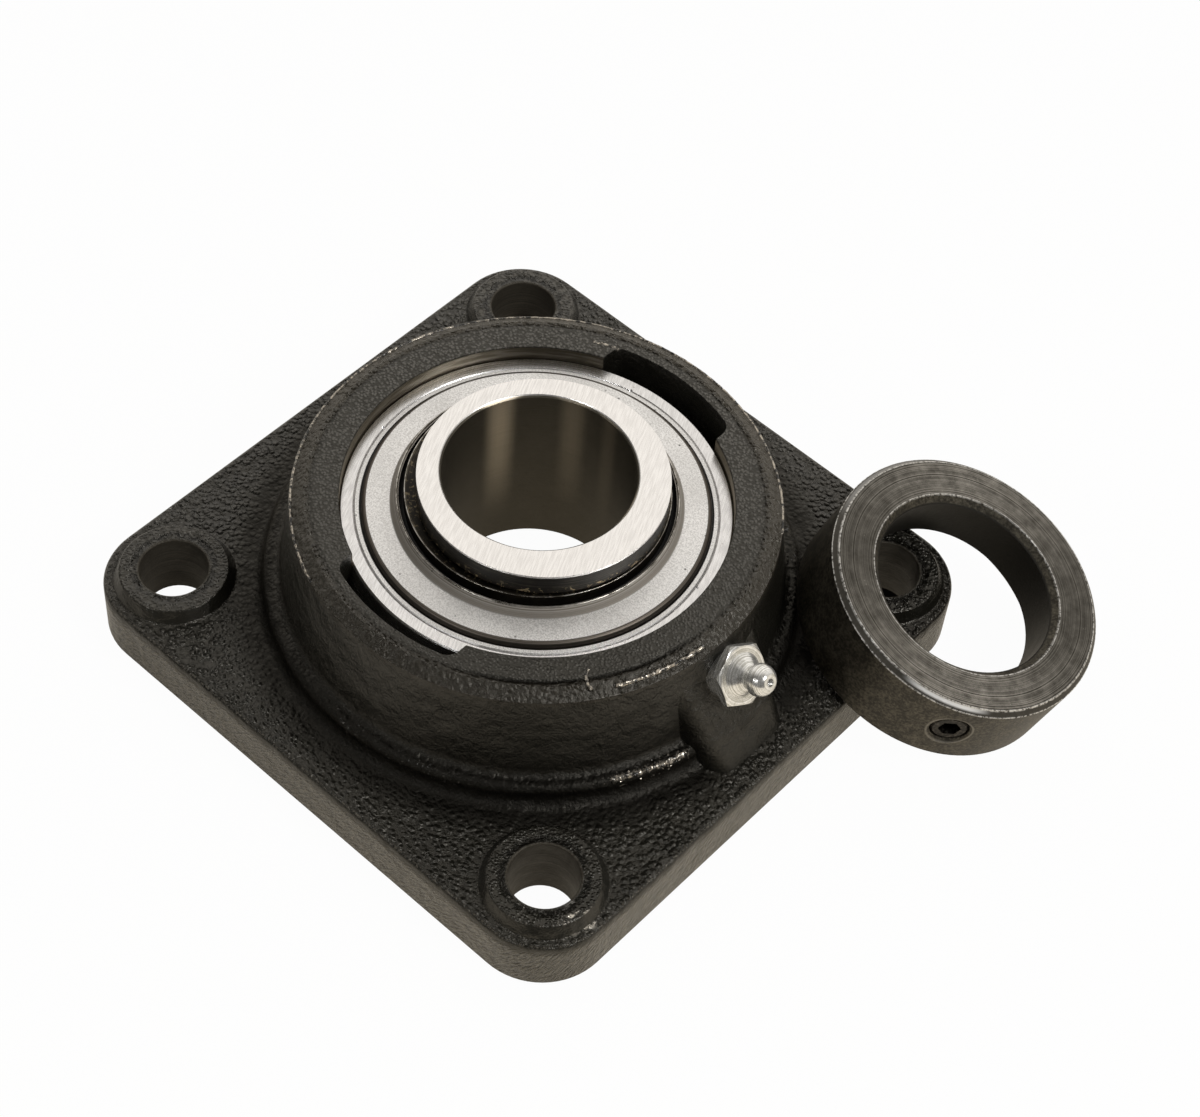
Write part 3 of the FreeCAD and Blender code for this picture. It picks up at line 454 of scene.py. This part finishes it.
# %% Seal steel
SHOULDER_RADIUS, BRIM_RADIUS, BEND_RADIUS = 33.4, 34.85, 28.9
seal = Finish("seal_steel", Metallic=1.0)
here, _, _, z, r = seal.round_place()
grain = seal.noise(here, 3.2, 3.0, 0.7)
pits = seal.cells(here, 0.42).below(0.06, 0.13) * seal.noise(here, 0.12, 1.0, 0.5).above(0.45, 0.6)
dish = r.below(BEND_RADIUS - 0.25, BEND_RADIUS + 0.05)
shoulder = (r.above(SHOULDER_RADIUS, SHOULDER_RADIUS + 0.2)
            * r.below(BRIM_RADIUS - 0.3, BRIM_RADIUS - 0.1))
rolled = seal.lines(r * 5.0, z * 2.0, 0.0, 2.0, 0.5)
slow = seal.noise(here, 0.05, 2.0, 0.5)

tone = seal.blend(grain.above(0.38, 0.62), (0.66, 0.65, 0.635), (0.97, 0.96, 0.945))
tone = seal.blend(slow.above(0.40, 0.65) * 0.20, tone, (0.40, 0.39, 0.375))
# The turned-down edge is painted darker.
darker_rolled_edge = seal.blend(rolled.above(0.4, 0.6), (0.055, 0.048, 0.040), (0.15, 0.13, 0.11))
cone = seal.blend(rolled.above(0.35, 0.65), (0.24, 0.215, 0.18), (0.50, 0.465, 0.42))
tone = seal.blend(dish, seal.blend(shoulder, tone, darker_rolled_edge), cone)
seal.feed(Base_Color=seal.blend(pits * 0.85, tone, (0.03, 0.026, 0.02)),
          Metallic=1 - dish * 0.35,
          Roughness=0.40 + grain * 0.16 + dish * 0.12,
          Normal=seal.bump(grain * 0.5 - pits + rolled * shoulder * 0.6, 0.03))
dress(seal, *(end + "_seal_" + piece for end in ("front", "rear")
              for piece in ("casing", "shroud", "washer")))

# %% [markdown]
# ## The plain finishes
#
# Some pieces hardly show: the rubber lips, the balls, their cage, the spring's wire and the set
# screw. Each is one noise that shifts the colour and the gloss a little, and for some the surface.
# They are alike enough that one function makes them all, and its arguments hold what differs.


# %% Plain finishes
def plain_finish(name, scale, colours, gloss, depth=None, detail=3.0, rough=0.6, step=None,
                 **constants):
    """A finish from one noise: two colours, a lowest and added roughness, and a bump in mm."""
    finish = Finish(name, **constants)
    mottled = finish.noise(finish.place(), scale, detail, rough)
    share = mottled.above(*step) if step else mottled
    finish.feed(Base_Color=finish.blend(share, *colours), Roughness=gloss[0] + mottled * gloss[1])
    if depth:
        finish.feed(Normal=finish.bump(mottled, depth))
    return finish


rubber = plain_finish("seal_rubber", 0.8, ((0.008, 0.008, 0.008), (0.020, 0.019, 0.018)),
                      (0.5, 0.2), 0.03, Metallic=0.0)
polish = plain_finish("ball_steel", 0.9, ((0.80, 0.80, 0.81), (0.88, 0.88, 0.89)),
                      (0.06, 0.05), rough=0.5, Metallic=1.0)
nylon = plain_finish("cage_plastic", 0.5, ((0.62, 0.57, 0.44), (0.72, 0.68, 0.56)),
                     (0.42, 0.15), 0.04, Metallic=0.0, Subsurface_Weight=0.1)
wire = plain_finish("spring_steel", 9.0, ((0.5, 0.5, 0.5), (0.68, 0.68, 0.68)),
                    (0.25, 0.15), detail=2.0, rough=0.5, Metallic=1.0)
blued = plain_finish("screw_steel", 1.4, ((0.022, 0.020, 0.017), (0.095, 0.086, 0.074)),
                     (0.35, 0.2), 0.03, step=(0.45, 0.7), Metallic=1.0)
dress(rubber, "front_seal_rubber", "rear_seal_rubber")
dress(polish, "grease_fitting_ball", *(name for name in frame["nodes"] if name.startswith("ball_")))
dress(nylon, "cage")
dress(blued, "collar_set_screw")

# %% [markdown]
# ## Zinc plate
#
# The grease fitting is turned and plated bright. Plating is never an even mirror: it has cloudy
# patches, fine turned lines and small dark spots. The turned lines follow the fitting's own axis,
# so the pattern is made in coordinates that are centred and tilted with it.

# %% Grease fitting
nipple = mounts["grease_nipple"]
tip = Vector(nipple["pos_m"]) / MM
fitting_axis = Vector(nipple["axis"])
tilt = Vector((0, 0, 1)).rotation_difference(fitting_axis).to_euler()
zinc = Finish("zinc", Metallic=0.80)
here, _, _, z, r = zinc.round_place(tip, tilt)
turned = zinc.lines(r * 3.0, z * 3.0, 0.0)
cloud = zinc.noise(here, 0.7, 3.0, 0.6, 0.8)
specks = zinc.noise(here, 2.6, 2.0, 0.5).above(0.66, 0.74)
scoring = turned * 0.7 + cloud * 0.3
tone = zinc.blend(scoring.above(0.40, 0.60), (0.52, 0.51, 0.46), (0.98, 0.97, 0.94))
zinc.feed(Base_Color=zinc.blend(specks * 0.5, tone, (0.12, 0.11, 0.085)),
          Roughness=0.14 + cloud * 0.16,
          Normal=zinc.bump(scoring, 0.06))
dress(zinc, "grease_fitting_body")

# %% [markdown]
# ## The valve spring
#
# The spring behind the check ball shortens when grease pushes the ball in. The CAD coil is stiff
# and is hidden; here the same coil is wound again from its wire: a small ring is carried round and
# along the axis by a Screw modifier. It could be a curve with a bevel, but here it is a mesh.


# %% Valve spring
def apply_place():
    bpy.ops.object.transform_apply(location=True, rotation=True, scale=True)


def weld(gap, fill_ends=False):
    """Join the doubled points of the piece in edit mode, and turn its faces outwards."""
    bpy.ops.mesh.select_all(action="SELECT")
    bpy.ops.mesh.remove_doubles(threshold=gap)
    if fill_ends:
        bpy.ops.mesh.fill_holes(sides=0)
    bpy.ops.mesh.normals_make_consistent(inside=False)
    bpy.ops.object.mode_set(mode="OBJECT")


SPRING_START, SPRING_END = -10.2, -2.935  # along the fitting's axis from its tip
COIL_RADIUS, WIRE_RADIUS, TURNS = 0.989, 0.21, 6
STEPS_PER_TURN, WIRE_SIDES = 24, 10
SMOOTH_UNDER = math.radians(50)
spring_length = SPRING_END - SPRING_START
bpy.ops.object.select_all(action="DESELECT")
bpy.ops.mesh.primitive_circle_add(
    vertices=WIRE_SIDES, radius=WIRE_RADIUS * MM, rotation=(math.pi / 2, 0, 0),
    location=(COIL_RADIUS * MM, 0, (SPRING_START + WIRE_RADIUS) * MM))
spring = bpy.context.object
spring.name = "valve_spring"
apply_place()
winding = spring.modifiers.new("winding", "SCREW")
winding.steps = winding.render_steps = STEPS_PER_TURN
winding.iterations = TURNS
winding.screw_offset = (spring_length - 2 * WIRE_RADIUS) / TURNS * MM
bpy.ops.object.modifier_apply(modifier=winding.name)
bpy.ops.object.mode_set(mode="EDIT")
weld(1e-7, fill_ends=True)
spring.location = tip * MM
spring.rotation_euler = tilt
apply_place()
bpy.ops.object.shade_smooth_by_angle(angle=SMOOTH_UNDER)
spring.data.materials.append(wire.material)
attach(spring, "housing")
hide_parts("grease_fitting_spring")
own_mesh(spring)
print("valve spring:", round(spring_length, 2), "mm long,", len(spring.data.polygons), "faces")

# %% [markdown]
# ## The collar: where it is worn
#
# The collar is turned from bar and blackened. The turning marks are rings about the collar's own
# axis, which leans, so the pattern is centred and tilted with it. Handling has rubbed the black off
# the sharp edges, so the edges of the bore and of the outer chamfer shine. A bright crescent on
# the outer chamfer is a painted highlight, and a ring of painted light round the screw's hole
# stands in for its lit countersink. Bevel shading could find edges on its own, but the collar's
# sizes are known, so the worn bands and the painted highlights are placed by radius and depth
# below the face.

# %% Places on the collar
collar_mount = mounts["collar_bore"]
collar_axis = Vector(collar_mount["axis"])
land = collar_mount["dims"]["length_mm"]
BORE_CHAMFER, EDGE_CHAMFER, COLLAR_RADIUS = 1.5, 1.1, 29.3
SCREW_BEARING, SCREW_DEPTH, SCREW_HOLE = -49.9, 8.7, 4.60
CHAMFER_START = COLLAR_RADIUS - EDGE_CHAMFER
face_centre = Vector(collar_mount["pos_m"]) / MM + collar_axis * (land / 2 + BORE_CHAMFER)
lean = Vector((0, 0, 1)).rotation_difference(collar_axis).to_euler()

oxide = Finish("black_oxide", Metallic=1.0)
here, x, y, z, r = oxide.round_place(face_centre, lean)
on_face = z.above(-0.15, -0.02)
in_bore = r.below(SHAFT_RADIUS + 0.1, SHAFT_RADIUS + 0.4)
outer_edge = (r.near(CHAMFER_START, 0.32) * z.above(-0.5, -0.1)
              + z.near(-EDGE_CHAMFER, 0.25) * r.above(COLLAR_RADIUS - 0.4, COLLAR_RADIUS - 0.05))
chamfered = r.above(CHAMFER_START, CHAMFER_START + 0.15) * z.above(-EDGE_CHAMFER, -0.9)
inner_edge = r.near(SHAFT_RADIUS + BORE_CHAMFER, 0.30) * z.above(-0.6, -0.1)
from_screw = oxide.radius(z + SCREW_DEPTH, oxide.toward(x, y, SCREW_BEARING - 90))
screw_side = oxide.toward(x, y, SCREW_BEARING).above(10.0, 12.0)
# Painted light: a ring round the screw's hole stands in for its lit countersink.
painted_screw_rim_light = (from_screw.near(SCREW_HOLE, 0.40)
             * r.above(COLLAR_RADIUS - 1.5, COLLAR_RADIUS - 1.0) * screw_side)
# Painted highlights: a bright crescent and a faint band on the outer chamfer.
painted_crescent_highlight = (x * 0.50 - y * 0.87).math("DIVIDE", r).above(0.94, 0.995) * z.above(-0.85, -0.45)
painted_left_highlight = (y * 0.10 - x).math("DIVIDE", r).above(0.86, 0.98) * z.above(-0.95, -0.60)
# Painted highlight and shade: a bow across the face, bright where the rings would face the light.
painted_bow_highlight = (y * 0.79 - x * 0.61).math("DIVIDE", r)
painted_bow_highlight = painted_bow_highlight * painted_bow_highlight
print("collar face at", [round(part, 2) for part in face_centre], "mm")

# %% [markdown]
# ## Black oxide on the collar
#
# The face shows fine turned rings, and painted light and shade make them brightest in a bow across
# it, where they would face the light, and darker beside it. The outside is mottled brown-black. The
# finish is mostly metal, and a little less so off the face, where the oxide is thick.

# %% Black oxide
wobble = oxide.noise(here, 0.06, 2.0, 0.5)
rings = oxide.lines(r * 3.6 + wobble * 2.0, 0.0, z * 0.6, 4.0, 0.8)
scratch = oxide.lines(x * 0.25 + y * 1.9, y * 0.3 - x * 1.9, z, 2.0, 0.5, distortion=1.5)
mottle = oxide.noise(here, 0.35, 4.0, 0.65)
grit = oxide.noise(here, 1.6, 3.0, 0.7)
worn = outer_edge.either(inner_edge) * grit.above(0.38, 0.58)

dark = oxide.blend((mottle * 0.4 + grit * 0.6).above(0.40, 0.66),
                   (0.030, 0.026, 0.019), (0.115, 0.102, 0.076))
dark = oxide.blend(in_bore, dark, (0.022, 0.020, 0.016))
face = oxide.blend((rings + mottle * 0.25).above(0.50, 0.82),
                   (0.038, 0.035, 0.028), (0.46, 0.43, 0.38))
face = oxide.blend((1 - painted_bow_highlight) * 0.60, face, (0.045, 0.041, 0.034))
tone = oxide.blend(on_face, dark, face)
for share, colour in ((chamfered * 0.8, (0.060, 0.055, 0.046)),
                      (chamfered * painted_crescent_highlight.either(painted_left_highlight * 0.22), (0.95, 0.94, 0.92)),
                      (painted_screw_rim_light * 0.35, (0.42, 0.39, 0.33)),
                      (scratch.above(0.72, 0.76) * on_face * 0.5, (0.55, 0.52, 0.46)),
                      (worn * 0.9, (0.80, 0.78, 0.74))):
    tone = oxide.blend(share, tone, colour)
oxide.feed(Base_Color=tone,
           Metallic=1 - (1 - on_face) * 0.30,
           Roughness=0.42 + mottle * 0.15 - worn * 0.14,
           Normal=oxide.bump(rings * on_face * 0.9 + grit * 0.5, 0.08))
dress(oxide, "locking_collar")

# %% [markdown]
# ## A bead on a turned edge
#
# Where the two halves of the sand mould met, iron crept between them and left a thin broken fin on
# the edge of the rim. Loose sand at the foot of the hub left crumbs. A bump map can only shade such
# forms and their outline would stay smooth, so they are modelled: a small disc stood on edge is
# spun about an upright axis into a bead, its ends are drawn in, and a Displace modifier with a
# cloud texture makes it lumpy. A curve with a bevel would do as well, but the spin stays true to
# the turned edge that the bead follows. A whole circle has no ends, so its ring is spun unfilled.

# %% Beads
SPIN_STEP = math.radians(0.35)
WHOLE_CIRCLE = 360
END_SHARE = 0.15


def draw_in(piece, cap):
    """Shrink one end face of a bead, so that the bead runs out to a point."""
    centre = piece.data.polygons[cap].center.copy()
    bpy.ops.object.mode_set(mode="EDIT")
    bpy.ops.mesh.select_all(action="DESELECT")
    bpy.ops.object.mode_set(mode="OBJECT")
    piece.data.polygons[cap].select = True
    bpy.ops.object.mode_set(mode="EDIT")
    bpy.ops.transform.resize(value=(END_SHARE,) * 3, center_override=centre)
    bpy.ops.object.mode_set(mode="OBJECT")


def make_lumpy(piece, lumps, grain):
    """Push the surface in and out by a cloud texture, in millimetres."""
    cloud = bpy.data.textures.new(piece.name, "CLOUDS")
    cloud.noise_scale = grain * MM
    cloud.noise_depth = 2
    displace = piece.modifiers.new("lumps", "DISPLACE")
    displace.texture = cloud
    displace.texture_coords = "LOCAL"
    displace.strength = lumps * MM
    displace.mid_level = 0.5
    bpy.ops.object.modifier_apply(modifier=displace.name)


def bead(name, body, finish, slot, radius, height, thickness, start=0, sweep=WHOLE_CIRCLE,
         lumps=0.0, sides=8, grain=1.1, about=(0, 0)):
    """A bead on an upright circle about a centre, in millimetres and degrees from +X."""
    bpy.ops.object.select_all(action="DESELECT")
    closed = sweep == WHOLE_CIRCLE
    angle = math.radians(start)
    bpy.ops.mesh.primitive_circle_add(
        vertices=sides, radius=thickness * MM, fill_type="NOTHING" if closed else "NGON",
        location=((about[0] + radius * math.cos(angle)) * MM,
                  (about[1] + radius * math.sin(angle)) * MM, height * MM),
        rotation=(math.pi / 2, 0, angle))
    piece = bpy.context.object
    piece.name = name
    apply_place()
    bpy.ops.object.mode_set(mode="EDIT")
    bpy.ops.mesh.select_all(action="SELECT")
    steps = max(6, round(math.radians(sweep) / SPIN_STEP))
    bpy.ops.mesh.spin(steps=steps, angle=-math.radians(sweep),  # the spin turns clockwise
                      center=(about[0] * MM, about[1] * MM, 0), axis=(0, 0, 1))
    weld(1e-6)
    if not closed:
        for cap in [face.index for face in piece.data.polygons if len(face.vertices) == sides]:
            draw_in(piece, cap)
    if lumps:
        make_lumpy(piece, lumps, grain)
    bpy.ops.object.shade_smooth_by_angle(angle=SMOOTH_UNDER)
    piece.data.materials.append(finish.material)
    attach(piece, body)
    print(name, len(piece.data.polygons), "faces")


# %% [markdown]
# ## Flash, folds and crumbs of the casting
#
# High spots of a painted casting lose their paint first, so this finish is bare iron on the bumps
# of a noise and black between them. The long bead round the foot of the hub keeps its paint, apart
# from one stretch where bright iron is painted on as glints. A fin runs along the rim at the rear
# and a thicker one at the front, beside a small fold; a burr sits at the end of a loading slot; a
# rope of crumbs lies at the foot of the hub, where sand broke from the mould.

# %% Worn iron on the high spots
RIDGE_RADIUS, RIDGE_HEIGHT, RIDGE_ROUND = 52.4, 15.1, 1.68
PAINTED_GLINT_BEARING = -21
bare_and_glint_edge = Finish("worn_casting_edge_with_painted_glints", IOR=1.5)
here, x, y, z, _ = bare_and_glint_edge.round_place()
rub = bare_and_glint_edge.noise(here, 0.9, 3.0, 0.65)
low_ridge = z.near(RIDGE_HEIGHT, 3.0).above(0.0, 0.05)
# Painted glints: one stretch of the foot bead is given bright iron.
painted_glint_stretch = bare_and_glint_edge.toward(x, y, PAINTED_GLINT_BEARING).above(RIDGE_RADIUS * 0.972, RIDGE_RADIUS * 0.990)
shine = rub.above(0.42, 0.60) * (1 - low_ridge * (1 - painted_glint_stretch) * 0.93)
bare_and_glint_edge.feed(Base_Color=bare_and_glint_edge.blend(shine, (0.010, 0.009, 0.007), (0.46, 0.415, 0.35)),
               Metallic=shine,
               Roughness=0.16 + rub * 0.12,
               Normal=bare_and_glint_edge.bump(rub, 0.10))
# The bearing printed here is where bright iron is painted on as glints.
print("worn iron beside bearing", PAINTED_GLINT_BEARING, "degrees")

# %% Flash, fold, burr and crumbs
on_casting = ("housing", bare_and_glint_edge, "cast_paint")
bead("parting_flash_rear", *on_casting, radius=48.12, height=36.95, thickness=0.30,
     start=35, sweep=215, lumps=0.20)
bead("parting_flash_front", *on_casting, radius=46.9, height=38.1, thickness=0.42,
     start=-29, sweep=24, lumps=0.60)
bead("rim_fold", *on_casting, radius=3.9, height=38.50, thickness=0.34,
     start=195, sweep=72, lumps=0.50, grain=0.8, about=(38.9, -22.6))
bead("slot_end_burr", *on_casting, radius=42.2, height=38.30, thickness=0.42,
     start=110, sweep=8, lumps=0.80, grain=0.7)
bead("crumb_rope", *on_casting, radius=53.3, height=16.4, thickness=0.62,
     start=-31, sweep=18.5, lumps=1.1, sides=12, grain=0.6)
for name, start, sweep, lumps in (("front", -31, 18.5, 1.2), ("middle", -58, 27, 0.55),
                                  ("left", -96, 38, 0.75), ("right", 45, 12, 0.95)):
    bead("foot_crumbs_" + name, *on_casting, radius=RIDGE_RADIUS, height=RIDGE_HEIGHT,
         thickness=RIDGE_ROUND, start=start, sweep=sweep, lumps=lumps, sides=36, grain=0.55)

# %% [markdown]
# ## Burnished edges round the shaft
#
# Two thin bright circles show in the dark gap beside the inner ring: the rolled edge of the seal's
# shroud and the shoulder of the ring. A sharp CAD edge has no width, so it can't catch light. Each
# gets a bead a few tenths of a millimetre thick.

# %% Rolled edges
burnish = Finish("burnished_edge", Metallic=1.0)
rub = burnish.noise(burnish.place(), 0.35, 3.0, 0.6)
tone = burnish.blend(rub.above(0.35, 0.65), (0.16, 0.145, 0.12), (0.62, 0.59, 0.54))
burnish.feed(Base_Color=tone,
             Roughness=0.20 + rub * 0.15,
             Normal=burnish.bump(rub, 0.02))
bead("shroud_lip_edge", "outer_ring", burnish, "seal_steel",
     radius=27.55, height=39.0, thickness=0.20)
bead("ring_shoulder_edge", "inner_ring", burnish, "ring_steel",
     radius=25.98, height=SHOULDER_TOP - 0.10, thickness=0.16)

# %% [markdown]
# ## The floor
#
# The photograph is a product shot on white paper. The floor could be lit until it clips to white,
# but that light would wash out the object. Instead the paper glows white for the camera's own rays
# and only a little for reflections, more towards the window. A small share of what the camera sees
# is the lit paper, so a faint shadow stays. The paper seen through the bolt hole under the collar
# carries a painted shadow: it is dark and does not glow, because that hole looks into the shade.

# %% Floor
SEEN_SHARE = 0.97
MIRRORED_LOW, MIRRORED_RISE = 0.22, 0.5
bpy.ops.object.select_all(action="DESELECT")
bpy.ops.mesh.primitive_plane_add(size=6.0, location=(0, 0, -0.0002))
floor = bpy.context.object
floor.name = "floor"

paper = Finish("paper", Roughness=0.9)
here, x, y, _, _ = paper.round_place()
weave = paper.noise(here, 0.3, 2.0, 0.5)
seen = paper.node("ShaderNodeLightPath", output="Is Camera Ray")
mirrored = paper.node("ShaderNodeLightPath", output="Is Glossy Ray")
# Painted shadow: the paper under the collar's bolt hole is dark and does not glow.
painted_shadow_under_collar = paper.radius(x - BOLT, y - BOLT).below(7.0, 9.0)
towards_window = (x * 0.9 - y * 0.3).above(-90.0, 110.0)
white = paper.blend(weave, (0.80, 0.78, 0.74), (0.82, 0.80, 0.76))
paper.feed(Base_Color=paper.blend(painted_shadow_under_collar, white, (0.04, 0.038, 0.034)))
tint = paper.blend(seen, (1.0, 0.90, 0.74), (1.0, 1.0, 1.0))
glow = paper.node("ShaderNodeEmission", inputs={"Color": tint, "Strength": 1.0})
glow_share = (seen * (1 - painted_shadow_under_collar) * SEEN_SHARE
              + mirrored * (MIRRORED_LOW + towards_window * MIRRORED_RISE))
mixed = paper.node("ShaderNodeMixShader", inputs={
    0: glow_share, 1: Value(paper, paper.shader.outputs[0]), 2: glow})
paper.tree.links.new(mixed.socket, paper.tree.nodes["Material Output"].inputs["Surface"])
floor.data.materials.append(paper.material)
print("floor:", floor.dimensions.x, "m wide")

# %% [markdown]
# ## The room
#
# The world is the studio's room: a large white light on the far side, a paler wall to the right,
# and darkness behind the camera, which keeps the black sides black. A picture of a room would do,
# but two ramps over the direction of a ray are enough, and the brighter of the two is taken.

# %% World
SKY_RISE = math.radians(28)
room = Finish("studio", bpy.data.worlds, "Background")
bpy.context.scene.world = room.material
sky = room.node("ShaderNodeTexCoord", output="Generated")


def glow_towards(direction, start, end, low, high):
    """Grey that rises from low to high as a ray turns towards that direction."""
    facing = room.node("ShaderNodeVectorMath", dict(operation="DOT_PRODUCT"),
                       {0: sky, 1: direction}, "Value")
    return room.node("ShaderNodeMapRange", inputs={
        "Value": facing, "From Min": start, "From Max": end, "To Min": low, "To Max": high})


far_side = (-math.sin(AZIMUTH) * math.cos(SKY_RISE), math.cos(AZIMUTH) * math.cos(SKY_RISE),
            math.sin(SKY_RISE))
overhead = glow_towards(far_side, 0.22, 1.0, 0.08, 1.22)
wall = glow_towards((0.88, 0.47, 0.05), 0.60, 0.95, 0.0, 0.55)
room.feed(Color=room.blend(overhead.math("MAXIMUM", wall), (0.0, 0.0, 0.0), (1.0, 0.965, 0.915)))
print("world nodes:", len(room.tree.nodes))

# %% [markdown]
# ## The lamps
#
# Two area lamps finish the light: a window on the right that draws the bright lines on edges and
# steel, and a weak strip in front. A point lamp would give hard dots on the paint, so each lamp
# has a size. They are placed by direction and aimed at the object.


# %% Lamps
def lamp(name, azimuth, elevation, distance, size, power):
    """An area lamp aimed at the object, from a direction measured like the camera's."""
    data = bpy.data.lights.new(name, "AREA")
    data.size = size
    data.energy = power
    light = bpy.data.objects.new(name, data)
    turn, rise = math.radians(azimuth), math.radians(elevation)
    away = Vector((math.sin(turn) * math.cos(rise), -math.cos(turn) * math.cos(rise),
                   math.sin(rise)))
    light.location = TARGET + away * distance
    light.rotation_euler = away.to_track_quat("Z", "Y").to_euler()
    bpy.context.scene.collection.objects.link(light)
    print(name, [round(value, 3) for value in light.location])


lamp("window", azimuth=98, elevation=47, distance=1.2, size=0.36, power=6.0)
lamp("side_strip", azimuth=-2, elevation=38, distance=1.2, size=0.20, power=1.8)

# %% [markdown]
# ## Colour
#
# Standard shows each colour as it was written.

# %% Colour
bpy.context.scene.view_settings.view_transform = "Standard"
